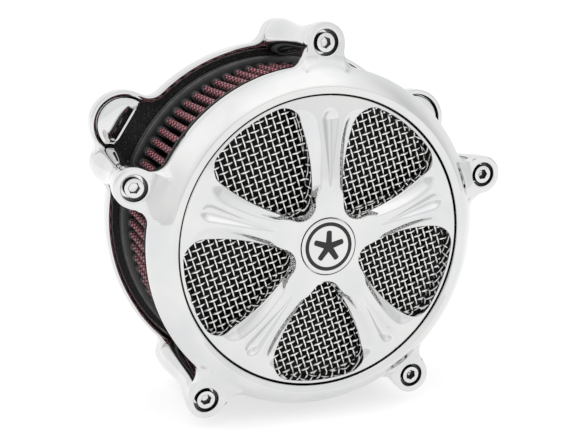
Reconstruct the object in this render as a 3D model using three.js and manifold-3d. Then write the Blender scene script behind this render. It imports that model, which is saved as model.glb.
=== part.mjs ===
// Round chrome air cleaner for a motorcycle engine, in millimetres.
// The filter's axis is Y. The spoked face looks along -Y, Z is up, and the origin is the
// centre of the throttle opening on the rear mounting face.
//
// The pieces sit one behind the other along the axis:
//   cover   : ring with five screw ears and posts, five-spoke insert, wire screen, centre cap
//   element : pleated gauze between a front cap and a rear rubber ring
//   root    : dished backplate with bell-mouthed intake stack and two breather outlets
import * as THREE from 'three';
import { mergeVertices } from 'three/addons/utils/BufferGeometryUtils.js';
import Module from 'manifold-3d';

const wasm = await Module();
wasm.setup();

// ---- driving dimensions ----------------------------------------------------------------
const TAU = 2 * Math.PI;
const GAP = 0.3;                 // clearance between pieces that touch
const BIG_STEPS = 48;            // facets round a large ring
const SMALL_STEPS = 16;          // facets round a boss, an ear or a screw
const OUTLINE_STEPS = 3;         // half the facets of one arc of an outline

const SCREW_CIRCLE = 98;         // radius of the circle of the five cover screws
const EAR_ANGLES = [90, 162, 234, 306, 18];
const EAR_RADIUS = 9.8;
const EAR_FILLET = 9;            // hollow between an ear and the rim
const LOBE_ANGLES = [149, 31];   // the two breather lobes of the backplate
const LOBE_EARS = [162, 18];     // the ear beside each lobe
const LOBE_CIRCLE = 99.1;
const LOBE_RADIUS = 18.2;

// stations along Y, front to back
const CAP_FACE_Y = -87.7;
const HUB_FACE_Y = -87.5;
const EAR_FACE_Y = -75;
const EAR_BACK_Y = -63;
const RIM_FRONT_Y = -11;         // front edge of the backplate's rim
const FLOOR_Y = -5.7;            // inside of the backplate
const PLATE_BACK_Y = -1.5;

// cover ring
const RING_OUTER = 87.5;
const RING_CREST = 77.8;
const RING_INNER = 74.4;
const RING_CREST_Y = -84.8;
const RING_SHOULDER = [84, -81]; // half-way down the slope outside the crest
const RING_LIP_Y = -83;          // inner edge beside the insert
const RING_BACK_Y = -68;
const TAB_INNER = 62;            // tabs behind the spokes that carry the insert
const TAB_FRONT_Y = -72.6;
const TAB_HALF_ANGLE = 8;
const CUT_FRONT_Y = -90;         // in front of everything, where cuts start
const COUNTERBORE_RADIUS = 6.35;
const COUNTERBORE_DEPTH = 7.2;
const SCREW_HOLE_RADIUS = 3.5;
const WAIST_RADIUS = 7.1;        // posts are slimmer half-way along
const POST_STEPS = 5;

// five-spoke insert
const INSERT_RADIUS = 73.6;
const INSERT_BACK_Y = -75;
const WINDOW_ANGLES = [126, 54, 198, 270, 342];
const WINDOW_OUTER = 72;
const WINDOW_INNER = 19.6;
const WINDOW_HALF_ANGLE = 24.4;
const WINDOW_CORNER = 9;
const WINDOW_TIP = 5.6;
const HUB_FLAT_RADIUS = 22;      // the face is flat this far out, then falls away to the rim
const SPOKE_RIDGE = [45, -85.7];
const INSERT_EDGE_Y = -82.6;
const CAP_RADIUS = 14.25;
const CAP_RECESS = 14.6;
const CAP_BACK_Y = -84.8;
const CAP_STUD_RADIUS = 3;
const CAP_STUD_END_Y = -68.6;
const CAP_NUT = { radius: 5, thickness: 3.2 };
const INLAY_RING = [10.4, 12.3];
const INLAY_DEPTH = 0.8;
const INLAY_GAP = 0.12;
const PROPELLER = { arms: 5, tip: 8.2, shoulder: 7.6, shoulderTurn: 11, root: 2.6 };

// wire screen
const SCREEN_RADIUS = 73.2;
const SCREEN_THICKNESS = 1.6;

// element
const PLEATS = 80;
const PLEAT_TIP = 84.2;
const PLEAT_ROOT = 71;
const MEDIA_THICKNESS = 1.4;
const TIP_FLAT = [0.27, 0.13];   // half the flat of a tip, outside and inside, in pitches
const FRONT_CAP_RADIUS = 86;
const FRONT_CAP_Y = [-64.5, -60.5];
const REAR_RING_RADIUS = 88;
const REAR_RING_Y = [-13, -6];
const END_INNER = 68;
const TOP_PLATE_Y = [-63, -61.6];
const TOP_PLATE_RADIUS = 67.5;
const ELEMENT_CLEARANCE = 88.7;  // nothing of the ears reaches inside this radius

// backplate
const PLATE_RADIUS = 95.5;
const RIM_WALL = 2.6;
const BORE_RADIUS = 26;
const BOSS_RADIUS = 43;
const SEAL_GROOVE = [27.4, 30.6];
const THROTTLE_SCREW_CIRCLE = 35;
const THROTTLE_SCREW_ANGLES = [90, 210, 330];
const SEAL_DEPTH = [-1.6, 0.4];  // floor of the seal's groove, and how far the seal stands out
const STACK_FOOT_Y = [-8.5, -6]; // the stack's flange, which the throttle screws clamp
const BREATHER_CIRCLE = 104.6;
const BREATHER_STUD = { bore: 2.4, shank: 4.4, flange: 7.5, front: -5.5, back: 13 };
const BREATHER_FLANGE_Y = [-1.2, 1.8];
const BREATHER_SEAL = { inner: 4.7, outer: 7, y: [2.1, 3.9] };
const BREATHER_HOLLOW = { radius: 5.6, depth: 2 };
const HOOD_RADIUS = 14.6;
const HOOD_CHORD = 98;           // the hood's flat side lies this far from the axis
const SLOT = { length: 18, width: 3.2, from: 98.9 };

// screws: head radius, head height, shank radius, hex socket across flats
const COVER_SCREW = { head: 4.73, height: 6.3, shank: 3.1, socket: 4.8 };
const COVER_SCREW_Y = [-74.4, -2];
const THROTTLE_SCREW = { head: 4.6, height: 5, shank: 2.9, socket: 4.8 };
const THROTTLE_SCREW_TIP_Y = 14;
const INSERT_SCREW = { head: 3.6, height: 2.2, shank: 1.9, socket: 2.5 };
const INSERT_SCREW_CIRCLE = 67;

// ---- materials --------------------------------------------------------------------------
const finish = (color, roughness, metalness) =>
  () => new THREE.MeshStandardMaterial({ color, roughness, metalness });
const chrome = finish(0xd9dbdc, 0.08, 1);
const zincSteel = finish(0xb8bab8, 0.3, 1);
const wireSteel = finish(0xc9cac8, 0.3, 1);
const blackSteel = finish(0x101011, 0.5, 0.4);
const blackRubber = finish(0x1c1c1d, 0.65, 0);
const greyRubber = finish(0x39393a, 0.6, 0);
const redGauze = finish(0x85454d, 0.9, 0);
const blackEnamel = finish(0x1a1a1a, 0.35, 0);

// ---- shape helpers ----------------------------------------------------------------------
const radians = (degrees) => degrees * Math.PI / 180;
const polar = (radius, degrees) =>
  new THREE.Vector2(radius * Math.cos(radians(degrees)), radius * Math.sin(radians(degrees)));

// A closed three.js geometry as a solid that can be cut and joined.
function solid(geometry) {
  const bare = geometry.index ? geometry.clone() : geometry;
  bare.deleteAttribute('normal');
  bare.deleteAttribute('uv');
  const merged = mergeVertices(bare, 1e-4);
  return new wasm.Manifold(new wasm.Mesh({
    numProp: 3,
    vertProperties: new Float32Array(merged.attributes.position.array),
    triVerts: new Uint32Array(merged.index.array),
  }));
}

// A flat outline in the XZ plane, made thick from y0 to y1.
function slab(shape, y0, y1, curveSegments = OUTLINE_STEPS) {
  const geometry = new THREE.ExtrudeGeometry(shape,
    { depth: y1 - y0, bevelEnabled: false, curveSegments, steps: 1 });
  geometry.rotateX(Math.PI / 2);
  geometry.translate(0, y1, 0);
  return solid(geometry);
}

// A closed section of [radius, y] points turned round the Y axis.
function turned(section, steps = BIG_STEPS) {
  const points = [...section, section[0]].map(([r, y]) => new THREE.Vector2(r, y));
  let body = solid(new THREE.LatheGeometry(points, steps));
  if (body.volume() < 0) body = solid(new THREE.LatheGeometry(points.reverse(), steps));
  return body;
}

// A plain round bar along Y at a place on the face.
function bar(radius, y0, y1, at = new THREE.Vector2(0, 0), steps = SMALL_STEPS) {
  const geometry = new THREE.CylinderGeometry(radius, radius, y1 - y0, steps);
  geometry.translate(at.x, (y0 + y1) / 2, at.y);
  return solid(geometry);
}

const washer = (inner, outer, y0, y1, steps = BIG_STEPS) =>
  turned([[inner, y0], [outer, y0], [outer, y1], [inner, y1]], steps);

const box = (w, d, h, x, y, z, turn = 0) => {
  const geometry = new THREE.BoxGeometry(w, d, h);
  geometry.translate(x, y, z);
  geometry.rotateY(-radians(turn));
  return solid(geometry);
};

// Where two circles meet, on the right of the line from the first to the second.
function meetingPoint(a, ra, b, rb) {
  const line = b.clone().sub(a);
  const distance = line.length();
  const along = (distance ** 2 + ra ** 2 - rb ** 2) / (2 * distance);
  const across = Math.sqrt(Math.max(ra ** 2 - along ** 2, 0));
  line.divideScalar(distance);
  const right = new THREE.Vector2(line.y, -line.x);
  return a.clone().addScaledVector(line, along).addScaledVector(right, across);
}

// The rim circle with lobes and ears, joined by hollow fillets. The circles are listed
// counter-clockwise, with the rim between those that don't blend into each other.
function lobedOutline(circles, fillet, inset = 0) {
  const count = circles.length;
  const round = fillet + inset;
  const radius = (circle) => circle.radius - inset;
  const hollows = circles.map((circle, i) => {
    const next = circles[(i + 1) % count];
    return meetingPoint(circle.at, radius(circle) + round, next.at, radius(next) + round);
  });
  const shape = new THREE.Shape();
  circles.forEach((circle, i) => {
    const before = hollows[(i + count - 1) % count];
    const after = hollows[i];
    const next = circles[(i + 1) % count];
    const angle = (from, to) => Math.atan2(to.y - from.y, to.x - from.x);
    shape.absarc(circle.at.x, circle.at.y, radius(circle),
      angle(circle.at, before), angle(circle.at, after), false);
    shape.absarc(after.x, after.y, round, angle(after, circle.at), angle(after, next.at), true);
  });
  return shape;
}

const rim = (radius) => ({ at: new THREE.Vector2(0, 0), radius });
const ear = (angle) => ({ at: polar(SCREW_CIRCLE, angle), radius: EAR_RADIUS });
const lobe = (angle) => ({ at: polar(LOBE_CIRCLE, angle), radius: LOBE_RADIUS });

// One window of the insert, pointing along +X: a wedge with a round outer side, two round
// corners and a round tip near the hub.
function windowShape() {
  const half = radians(WINDOW_HALF_ANGLE);
  const cornerAt = WINDOW_OUTER - WINDOW_CORNER;
  const cornerTurn = half - Math.asin(WINDOW_CORNER / cornerAt);
  const tipAt = WINDOW_INNER + WINDOW_TIP;
  const shape = new THREE.Shape();
  const corner = polar(cornerAt, THREE.MathUtils.radToDeg(cornerTurn));
  shape.absarc(0, 0, WINDOW_OUTER, -cornerTurn, cornerTurn, false);
  shape.absarc(corner.x, corner.y, WINDOW_CORNER, cornerTurn, half + Math.PI / 2, false);
  shape.absarc(tipAt, 0, WINDOW_TIP, half + Math.PI / 2, TAU - half - Math.PI / 2, false);
  shape.absarc(corner.x, -corner.y, WINDOW_CORNER, -half - Math.PI / 2, -cornerTurn, false);
  return shape;
}

const spun = (body, degrees) => body.rotate([0, -degrees, 0]);

// A socket-head screw with its head at the front, along Y, on the axis.
function screw(size, headY, tipY) {
  const hex = new THREE.CylinderGeometry(size.socket / Math.sqrt(3), size.socket / Math.sqrt(3),
    size.height, 6);
  hex.translate(0, headY, 0);
  return bar(size.head, headY, headY + size.height)
    .add(bar(size.shank, headY + size.height - 0.5, tipY))
    .subtract(solid(hex));
}

// ---- assembly ---------------------------------------------------------------------------
const assembly = new THREE.Group();

function place(name, body, material, parent = assembly) {
  const { vertProperties, triVerts } = body.getMesh();
  const geometry = new THREE.BufferGeometry();
  geometry.setAttribute('position', new THREE.BufferAttribute(new Float32Array(vertProperties), 3));
  geometry.setIndex(new THREE.BufferAttribute(new Uint32Array(triVerts), 1));
  geometry.computeVertexNormals();
  const mesh = new THREE.Mesh(geometry, material());
  mesh.name = name;
  parent.add(mesh);
  return mesh;
}

// A piece made on the axis and moved to a place on the face.
function placeAt(name, body, material, at) {
  const mesh = place(name, body, material);
  mesh.position.set(at.x, 0, at.y);
}

// -- backplate unit --
function backplate() {
  const inside = [
    rim(PLATE_RADIUS), lobe(LOBE_ANGLES[0]), rim(PLATE_RADIUS), lobe(LOBE_ANGLES[1]),
  ];
  const circles = [
    rim(PLATE_RADIUS), ear(90), rim(PLATE_RADIUS), lobe(LOBE_ANGLES[0]), ear(162),
    rim(PLATE_RADIUS), ear(234), rim(PLATE_RADIUS), ear(306), rim(PLATE_RADIUS), ear(18),
    lobe(LOBE_ANGLES[1]),
  ];
  const plate = slab(lobedOutline(circles, EAR_FILLET), RIM_FRONT_Y, PLATE_BACK_Y);
  const pocket = slab(lobedOutline(inside, EAR_FILLET, RIM_WALL), RIM_FRONT_Y - 1, FLOOR_Y, 6);
  let body = plate.subtract(pocket)
    .add(bar(BOSS_RADIUS, PLATE_BACK_Y - 0.5, 0, undefined, BIG_STEPS))
    .subtract(bar(BORE_RADIUS, -20, 5, undefined, BIG_STEPS))
    .subtract(washer(SEAL_GROOVE[0], SEAL_GROOVE[1], SEAL_DEPTH[0], 1));
  const holes = [
    ...EAR_ANGLES.map((angle) => bar(SCREW_HOLE_RADIUS, -20, 5, polar(SCREW_CIRCLE, angle))),
    ...THROTTLE_SCREW_ANGLES.map((angle) => bar(THROTTLE_SCREW.shank + GAP, -20, 5,
      polar(THROTTLE_SCREW_CIRCLE, angle))),
    ...LOBE_ANGLES.map((angle) => bar(BREATHER_STUD.shank + GAP, -20, 5,
      polar(BREATHER_CIRCLE, angle))),
  ];
  for (const hole of holes) body = body.subtract(hole);
  return body;
}
place('backplate', backplate(), chrome);

// Intake stack: a straight throat that opens into a bell mouth, on a flange.
const [footFront, footBack] = STACK_FOOT_Y;
let stack = turned([
  [BORE_RADIUS, footBack], [BORE_RADIUS, -18], [28, -25], [33.5, -29], [35, -27.5],
  [30, -22], [28.6, -17], [28.6, footFront], [40, footFront], [40, footBack],
]);
for (const angle of THROTTLE_SCREW_ANGLES) {
  stack = stack.subtract(bar(THROTTLE_SCREW.shank + GAP, -12, 0,
    polar(THROTTLE_SCREW_CIRCLE, angle)));
}
place('velocity_stack', stack, zincSteel);
place('throttle_seal', washer(SEAL_GROOVE[0] + GAP, SEAL_GROOVE[1] - GAP, SEAL_DEPTH[0] + GAP,
  SEAL_DEPTH[1]), blackRubber);
THROTTLE_SCREW_ANGLES.forEach((angle, i) => {
  const headY = footFront - GAP - THROTTLE_SCREW.height;
  placeAt(`throttle_screw_${i + 1}`, screw(THROTTLE_SCREW, headY, THROTTLE_SCREW_TIP_Y),
    zincSteel, polar(THROTTLE_SCREW_CIRCLE, angle));
});

// The breather hood is the outer half of a disc, with a slot beside its flat side and a
// hollow behind that takes the crankcase breath from the stud to the slot.
function breatherHood(angle, earAngle) {
  const front = RIM_FRONT_Y + 0.2;
  const back = FLOOR_Y - GAP;
  const middle = (front + back) / 2;
  const depth = back - front;
  const disc = bar(HOOD_RADIUS, front, back, new THREE.Vector2(LOBE_CIRCLE, 0), 32);
  const keep = box(40, depth + 2, 40, HOOD_CHORD + 20, middle, 0);
  const slot = box(SLOT.width, depth + 2, SLOT.length, SLOT.from + SLOT.width / 2, middle, 0);
  const hollow = bar(BREATHER_HOLLOW.radius, back - BREATHER_HOLLOW.depth, back + 1,
    new THREE.Vector2(BREATHER_CIRCLE, 0));
  const boss = bar(EAR_RADIUS + 0.9, front - 1, back + 1, polar(SCREW_CIRCLE, earAngle));
  return spun(disc.intersect(keep).subtract(slot).subtract(hollow), angle).subtract(boss);
}
const sides = ['left', 'right'];
LOBE_ANGLES.forEach((angle, i) => {
  const at = polar(BREATHER_CIRCLE, angle);
  place(`breather_hood_${sides[i]}`, breatherHood(angle, LOBE_EARS[i]), chrome);
  const { bore, shank, flange, front, back } = BREATHER_STUD;
  const [flangeFront, flangeBack] = BREATHER_FLANGE_Y;
  const stud = turned([[bore, front], [shank, front], [shank, flangeFront], [flange, flangeFront],
    [flange, flangeBack], [shank, flangeBack], [shank, back], [bore, back]], SMALL_STEPS);
  placeAt(`breather_stud_${sides[i]}`, stud, zincSteel, at);
  placeAt(`breather_seal_${sides[i]}`, washer(BREATHER_SEAL.inner, BREATHER_SEAL.outer,
    ...BREATHER_SEAL.y, SMALL_STEPS), blackRubber, at);
});

// -- filter element --
// The zigzag of the pleats has flat tips outside and sharp roots inside.
function zigzag(tip, root, tipFlat) {
  const pitch = 360 / PLEATS;
  const points = [];
  for (let turn = 0; turn < 360; turn += pitch) {
    points.push(polar(tip, turn - tipFlat * pitch), polar(tip, turn + tipFlat * pitch),
      polar(root, turn + pitch / 2));
  }
  return new THREE.Shape(points);
}
function pleatedMedia() {
  const outside = zigzag(PLEAT_TIP, PLEAT_ROOT, TIP_FLAT[0]);
  const inside = zigzag(PLEAT_TIP - 2 * MEDIA_THICKNESS, PLEAT_ROOT - MEDIA_THICKNESS, TIP_FLAT[1]);
  return slab(outside, FRONT_CAP_Y[1] + GAP, REAR_RING_Y[0] - GAP).subtract(slab(inside, -80, 0));
}
place('pleated_media', pleatedMedia(), redGauze);
place('front_end_cap', turned([[END_INNER, FRONT_CAP_Y[0]], [FRONT_CAP_RADIUS - 1, FRONT_CAP_Y[0]],
  [FRONT_CAP_RADIUS, FRONT_CAP_Y[0] + 1], [FRONT_CAP_RADIUS, FRONT_CAP_Y[1]],
  [END_INNER, FRONT_CAP_Y[1]]]), blackRubber);
place('element_top_plate', bar(TOP_PLATE_RADIUS, ...TOP_PLATE_Y, undefined, BIG_STEPS), blackSteel);
place('rear_end_ring', turned([[END_INNER, REAR_RING_Y[0]], [REAR_RING_RADIUS - 2, REAR_RING_Y[0]],
  [REAR_RING_RADIUS, REAR_RING_Y[0] + 2], [REAR_RING_RADIUS, REAR_RING_Y[1]],
  [END_INNER, REAR_RING_Y[1]]]), greyRubber);

// -- cover --
function coverRing() {
  const circles = EAR_ANGLES.toSorted((a, b) => a - b)
    .flatMap((angle) => [ear(angle), rim(RING_OUTER)]);
  const section = [
    [RING_INNER, RING_LIP_Y], [RING_CREST, RING_CREST_Y], RING_SHOULDER, [RING_OUTER, EAR_FACE_Y],
    [RING_OUTER, RING_BACK_Y], [RING_INNER, RING_BACK_Y],
  ];
  let body = turned(section)
    .add(slab(lobedOutline(circles, EAR_FILLET), EAR_FACE_Y, RING_BACK_Y)
      .subtract(bar(RING_INNER + 3, CUT_FRONT_Y, 0, undefined, BIG_STEPS)));
  const tabHeight = 2 * TAB_INNER * Math.tan(radians(TAB_HALF_ANGLE));
  for (const angle of EAR_ANGLES) {
    const at = polar(SCREW_CIRCLE, angle);
    const tabWidth = RING_INNER + 1 - TAB_INNER;
    const tabDepth = RING_BACK_Y - TAB_FRONT_Y;
    body = body
      .add(bar(EAR_RADIUS, RING_BACK_Y - 1, EAR_BACK_Y, at)
        .subtract(bar(ELEMENT_CLEARANCE, RING_BACK_Y, 0, undefined, BIG_STEPS)))
      .add(box(tabWidth, tabDepth, tabHeight, TAB_INNER + tabWidth / 2,
        TAB_FRONT_Y + tabDepth / 2, 0, angle))
      .subtract(bar(COUNTERBORE_RADIUS, CUT_FRONT_Y, EAR_FACE_Y + COUNTERBORE_DEPTH, at))
      .subtract(bar(SCREW_HOLE_RADIUS, CUT_FRONT_Y, 0, at))
      .subtract(bar(INSERT_SCREW.shank + GAP, -80, 0, polar(INSERT_SCREW_CIRCLE, angle)));
  }
  return body;
}
place('cover_ring', coverRing(), chrome);

// The posts are waisted columns behind the ears; the long cover screws run through them.
const postFront = EAR_BACK_Y + GAP;
const postBack = RIM_FRONT_Y - GAP;
const postSection = [[SCREW_HOLE_RADIUS, postFront], [EAR_RADIUS, postFront]];
for (let i = 1; i < POST_STEPS; i += 1) {
  const share = i / POST_STEPS;
  const radius = EAR_RADIUS - (EAR_RADIUS - WAIST_RADIUS) * Math.sin(Math.PI * share) ** 0.6;
  postSection.push([radius, postFront + share * (postBack - postFront)]);
}
postSection.push([EAR_RADIUS, postBack], [SCREW_HOLE_RADIUS, postBack]);
const elementSpace = bar(ELEMENT_CLEARANCE, -70, 0, undefined, BIG_STEPS);
EAR_ANGLES.forEach((angle, i) => {
  const at = polar(SCREW_CIRCLE, angle);
  const post = turned(postSection, SMALL_STEPS).subtract(elementSpace.translate([-at.x, 0, -at.y]));
  placeAt(`cover_post_${i + 1}`, post, chrome, at);
});

function faceInsert() {
  const section = [
    [CAP_STUD_RADIUS + GAP, CAP_BACK_Y + GAP], [CAP_RECESS, CAP_BACK_Y + GAP],
    [CAP_RECESS, HUB_FACE_Y], [HUB_FLAT_RADIUS, HUB_FACE_Y], SPOKE_RIDGE,
    [INSERT_RADIUS, INSERT_EDGE_Y], [INSERT_RADIUS, INSERT_BACK_Y],
    [CAP_STUD_RADIUS + GAP, INSERT_BACK_Y],
  ];
  let body = turned(section);
  const opening = slab(windowShape(), -95, -70, 4);
  for (const angle of WINDOW_ANGLES) body = body.subtract(spun(opening, angle));
  for (const angle of EAR_ANGLES) {
    body = body.subtract(bar(INSERT_SCREW.shank + GAP, INSERT_BACK_Y - 4, 0,
      polar(INSERT_SCREW_CIRCLE, angle), 12));
  }
  return body;
}
place('face_insert', faceInsert(), chrome);

let screen = washer(CAP_STUD_RADIUS + GAP, SCREEN_RADIUS, INSERT_BACK_Y + GAP,
  INSERT_BACK_Y + GAP + SCREEN_THICKNESS);
for (const angle of EAR_ANGLES) {
  screen = screen.subtract(bar(INSERT_SCREW.shank + GAP, -80, 0,
    polar(INSERT_SCREW_CIRCLE, angle), 12));
}
place('wire_screen', screen, wireSteel);
EAR_ANGLES.forEach((angle, i) => {
  const tip = RING_BACK_Y - INSERT_BACK_Y + INSERT_SCREW.height + 2.8;
  const body = screw(INSERT_SCREW, 0, tip).rotate([180, 0, 0])
    .translate([0, RING_BACK_Y + GAP + INSERT_SCREW.height, 0]);
  placeAt(`insert_screw_${i + 1}`, body, blackSteel, polar(INSERT_SCREW_CIRCLE, angle));
});

// Centre cap: a disc with a stud that a nut holds behind the screen. Its face carries a
// black ring and a plain five-armed propeller, both laid in flush.
function propellerShape(grow) {
  const { arms, tip, shoulder, shoulderTurn, root } = PROPELLER;
  const points = [];
  for (let i = 0; i < arms; i += 1) {
    const turn = 90 + i * 360 / arms;
    points.push(polar(shoulder + grow, turn - shoulderTurn), polar(tip + grow, turn),
      polar(shoulder + grow, turn + shoulderTurn), polar(root + grow, turn + 180 / arms));
  }
  return new THREE.Shape(points);
}
const inlayBack = CAP_FACE_Y + INLAY_DEPTH;
const cap = bar(CAP_RADIUS, CAP_FACE_Y, CAP_BACK_Y, undefined, BIG_STEPS)
  .add(bar(CAP_STUD_RADIUS, CAP_BACK_Y - 0.5, CAP_STUD_END_Y))
  .subtract(washer(...INLAY_RING, CAP_FACE_Y - 1, inlayBack))
  .subtract(slab(propellerShape(0), CAP_FACE_Y - 1, inlayBack));
place('centre_cap', cap, chrome);
place('cap_ring_inlay', washer(INLAY_RING[0] + INLAY_GAP, INLAY_RING[1] - INLAY_GAP,
  CAP_FACE_Y, inlayBack - INLAY_GAP), blackEnamel);
place('cap_propeller_inlay', slab(propellerShape(-INLAY_GAP), CAP_FACE_Y, inlayBack - INLAY_GAP),
  blackEnamel);
const nutFront = INSERT_BACK_Y + SCREEN_THICKNESS + 2 * GAP;
place('cap_nut', bar(CAP_NUT.radius, nutFront, nutFront + CAP_NUT.thickness, undefined, 6)
  .subtract(bar(CAP_STUD_RADIUS + GAP, -80, -60)), zincSteel);

// -- the five cover screws --
EAR_ANGLES.forEach((angle, i) => {
  placeAt(`cover_screw_${i + 1}`, screw(COVER_SCREW, ...COVER_SCREW_Y), chrome,
    polar(SCREW_CIRCLE, angle));
});

export default assembly;
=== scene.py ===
# %% [markdown]
# # A round chrome air cleaner for a motorcycle
# A spoked chrome cover stands in front of a pleated gauze filter on a dished backplate. Every
# piece is built here in millimetres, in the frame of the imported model, and scaled to metres at
# the end. The filter's axis is Y, the spoked face looks along -Y and Z is up.
# %% Load the fixed frame
import math

import bmesh
import bpy
from mathutils import Matrix, Vector


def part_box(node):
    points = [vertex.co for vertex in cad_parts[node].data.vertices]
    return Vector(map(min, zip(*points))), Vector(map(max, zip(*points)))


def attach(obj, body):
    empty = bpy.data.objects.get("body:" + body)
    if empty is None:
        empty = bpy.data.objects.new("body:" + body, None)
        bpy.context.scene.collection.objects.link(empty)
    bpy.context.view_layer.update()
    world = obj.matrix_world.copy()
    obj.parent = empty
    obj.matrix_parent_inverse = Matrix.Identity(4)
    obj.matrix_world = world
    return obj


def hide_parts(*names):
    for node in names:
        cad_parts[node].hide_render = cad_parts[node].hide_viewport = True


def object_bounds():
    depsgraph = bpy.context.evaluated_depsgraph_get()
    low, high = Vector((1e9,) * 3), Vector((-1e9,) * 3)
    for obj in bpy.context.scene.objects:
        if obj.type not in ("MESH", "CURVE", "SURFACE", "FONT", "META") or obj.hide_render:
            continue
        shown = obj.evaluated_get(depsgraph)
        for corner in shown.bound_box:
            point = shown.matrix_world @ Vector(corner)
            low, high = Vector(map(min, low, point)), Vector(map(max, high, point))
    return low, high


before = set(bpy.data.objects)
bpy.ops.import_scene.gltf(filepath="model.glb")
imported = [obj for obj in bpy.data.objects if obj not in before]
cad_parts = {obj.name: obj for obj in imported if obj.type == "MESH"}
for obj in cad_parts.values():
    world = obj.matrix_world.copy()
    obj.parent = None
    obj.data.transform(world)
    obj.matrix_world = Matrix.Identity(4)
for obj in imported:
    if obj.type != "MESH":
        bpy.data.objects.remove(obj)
cad_low, cad_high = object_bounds()
TAU = 2 * math.pi
MM = 0.001
SHARP_ANGLE = 40                            # degrees
AXIS = Vector((0, 0))                       # the filter's axis, as a point of the face plane


# %% [markdown]
# ## Sizes
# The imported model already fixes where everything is, so the stations along the axis and the
# radii are read from its boxes. Only what a box can't say, such as a fillet or a wall, is named
# here.
# %% Read the main sizes from the frame
def box_mm(node):
    low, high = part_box(node)
    return low / MM, high / MM


def front(node):
    """The Y of a node's face nearest the viewer."""
    return box_mm(node)[0].y


def back(node):
    return box_mm(node)[1].y


def half_width(node):
    low, high = box_mm(node)
    return (high.x - low.x) / 2


EAR_ANGLES = [90, 162, 234, 306, 18]        # the five cover screws, in the order of their nodes
LOBE_ANGLES = [149, 31]                     # the backplate's two breather lobes, left and right
SCREW_CIRCLE = (box_mm("cover_screw_1")[0].z + box_mm("cover_screw_1")[1].z) / 2
EAR_RADIUS = box_mm("cover_ring")[1].z - SCREW_CIRCLE
HUB_FACE = front("face_insert")
EAR_FACE = -75.0
INSERT_BACK = back("face_insert")
INSERT_RADIUS = half_width("face_insert")
RING_BACK = -68.0
RIM_FRONT = front("backplate")
print(f"screw circle {SCREW_CIRCLE:.1f}, ear radius {EAR_RADIUS:.1f}, insert {INSERT_RADIUS:.1f} mm")


# %% [markdown]
# ## Helpers for shapes
# Most of this object is made of round castings, so two ways cover nearly all of it: a profile
# spun about an axis, and a sheet of quads whose corners are put in place by a rule. The sheet
# suits cast shapes that flow, because its reflections stay smooth.
# %% Points and arcs in the plane of the face
def flat(radius, degrees):
    """A point of the face plane, as (x, z), from its radius and angle."""
    turn = math.radians(degrees)
    return Vector((radius * math.cos(turn), radius * math.sin(turn)))


def raised(point, y):
    """A point of the face plane with its place along the axis."""
    return Vector((point.x, y, point.y))


def heading(start, end):
    return math.atan2(end.y - start.y, end.x - start.x)


def arc(centre, radius, start, end, step):
    """Points along an arc between two directions in radians, without the last one."""
    count = max(2, round(abs(end - start) * radius / step))
    turns = [start + (end - start) * k / count for k in range(count)]
    return [centre + Vector((math.cos(a), math.sin(a))) * radius for a in turns]


def meeting_point(a, ra, b, rb):
    """Where two circles meet, on the right of the line from the first centre to the second."""
    line = b - a
    along = (line.length ** 2 + ra ** 2 - rb ** 2) / (2 * line.length)
    across = math.sqrt(max(ra ** 2 - along ** 2, 0))
    line.normalize()
    return a + line * along + Vector((line.y, -line.x)) * across


def lobed_outline(circles, fillet, step, inset=0.0):
    """A rim with ears and lobes, joined by hollow fillets, from its (centre, radius) circles."""
    hollow = fillet + inset
    sized = [(centre, radius - inset) for centre, radius in circles]
    centres = [meeting_point(a, ra + hollow, b, rb + hollow)
               for (a, ra), (b, rb) in zip(sized, sized[1:] + sized[:1])]
    points = []
    for i, (centre, radius) in enumerate(sized):
        before, after = centres[i - 1], centres[i]
        following = sized[(i + 1) % len(sized)][0]
        start, end = heading(centre, before), heading(centre, after)
        points += arc(centre, radius, start, end + TAU * (end < start), step)
        start, end = heading(after, centre), heading(after, following)
        points += arc(after, hollow, start, end - TAU * (end > start), step)
    return points


print("outline helpers ready")


# %% Soft corners between heights
def smooth_min(a, b, blend):
    """The smaller of two heights, with the crease between them rounded over about blend."""
    near = max(blend - abs(a - b), 0) / blend
    return min(a, b) - near * near * blend / 4


def smooth_max(a, b, blend):
    return -smooth_min(-a, -b, blend)


def edge_drop(distance, radius):
    """How far a rounded edge of that radius has fallen this close to it."""
    if distance >= radius:
        return 0.0
    return radius - math.sqrt(max(radius ** 2 - (radius - distance) ** 2, 0))


print("a rounded edge of 1 mm has fallen", round(edge_drop(0.5, 1), 2), "mm half a mm inside it")


# %% Sheets and spun profiles
def sheet(bm, columns, rows, place):
    """A sheet of columns by rows quads, with each corner where place(column, row) says."""
    corners = bmesh.ops.create_grid(bm, x_segments=columns, y_segments=rows, size=1)["verts"]
    for corner in corners:
        i = round((corner.co.x + 1) / 2 * columns)
        j = round((corner.co.y + 1) / 2 * rows)
        corner.co = place(i, j)
    return corners


def spun(bm, profile, steps=96, at=AXIS, closed=True):
    """Spins a profile of (radius, y) points about an axis along Y, through a place on the face."""
    points = [bm.verts.new((at.x + r, y, at.y)) for r, y in profile]
    ends = points[1:] + points[:1] if closed else points[1:]
    edges = [bm.edges.new(pair) for pair in zip(points, ends)]
    bmesh.ops.spin(bm, geom=points + edges, cent=(at.x, 0, at.y), axis=(0, 1, 0),
                   angle=TAU, steps=steps, use_merge=True)


def bevel_sharp(bm, width, segments=3, over=35):
    """Rounds every edge whose faces turn by more than so many degrees."""
    bmesh.ops.remove_doubles(bm, verts=bm.verts, dist=0.001)
    bmesh.ops.recalc_face_normals(bm, faces=bm.faces)
    sharp = [e for e in bm.edges if len(e.link_faces) == 2
             and e.calc_face_angle() > math.radians(over)]
    bmesh.ops.bevel(bm, geom=sharp, offset=width, segments=segments, profile=0.5,
                    affect="EDGES", material=-1, clamp_overlap=True)


print("mesh helpers ready")


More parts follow.
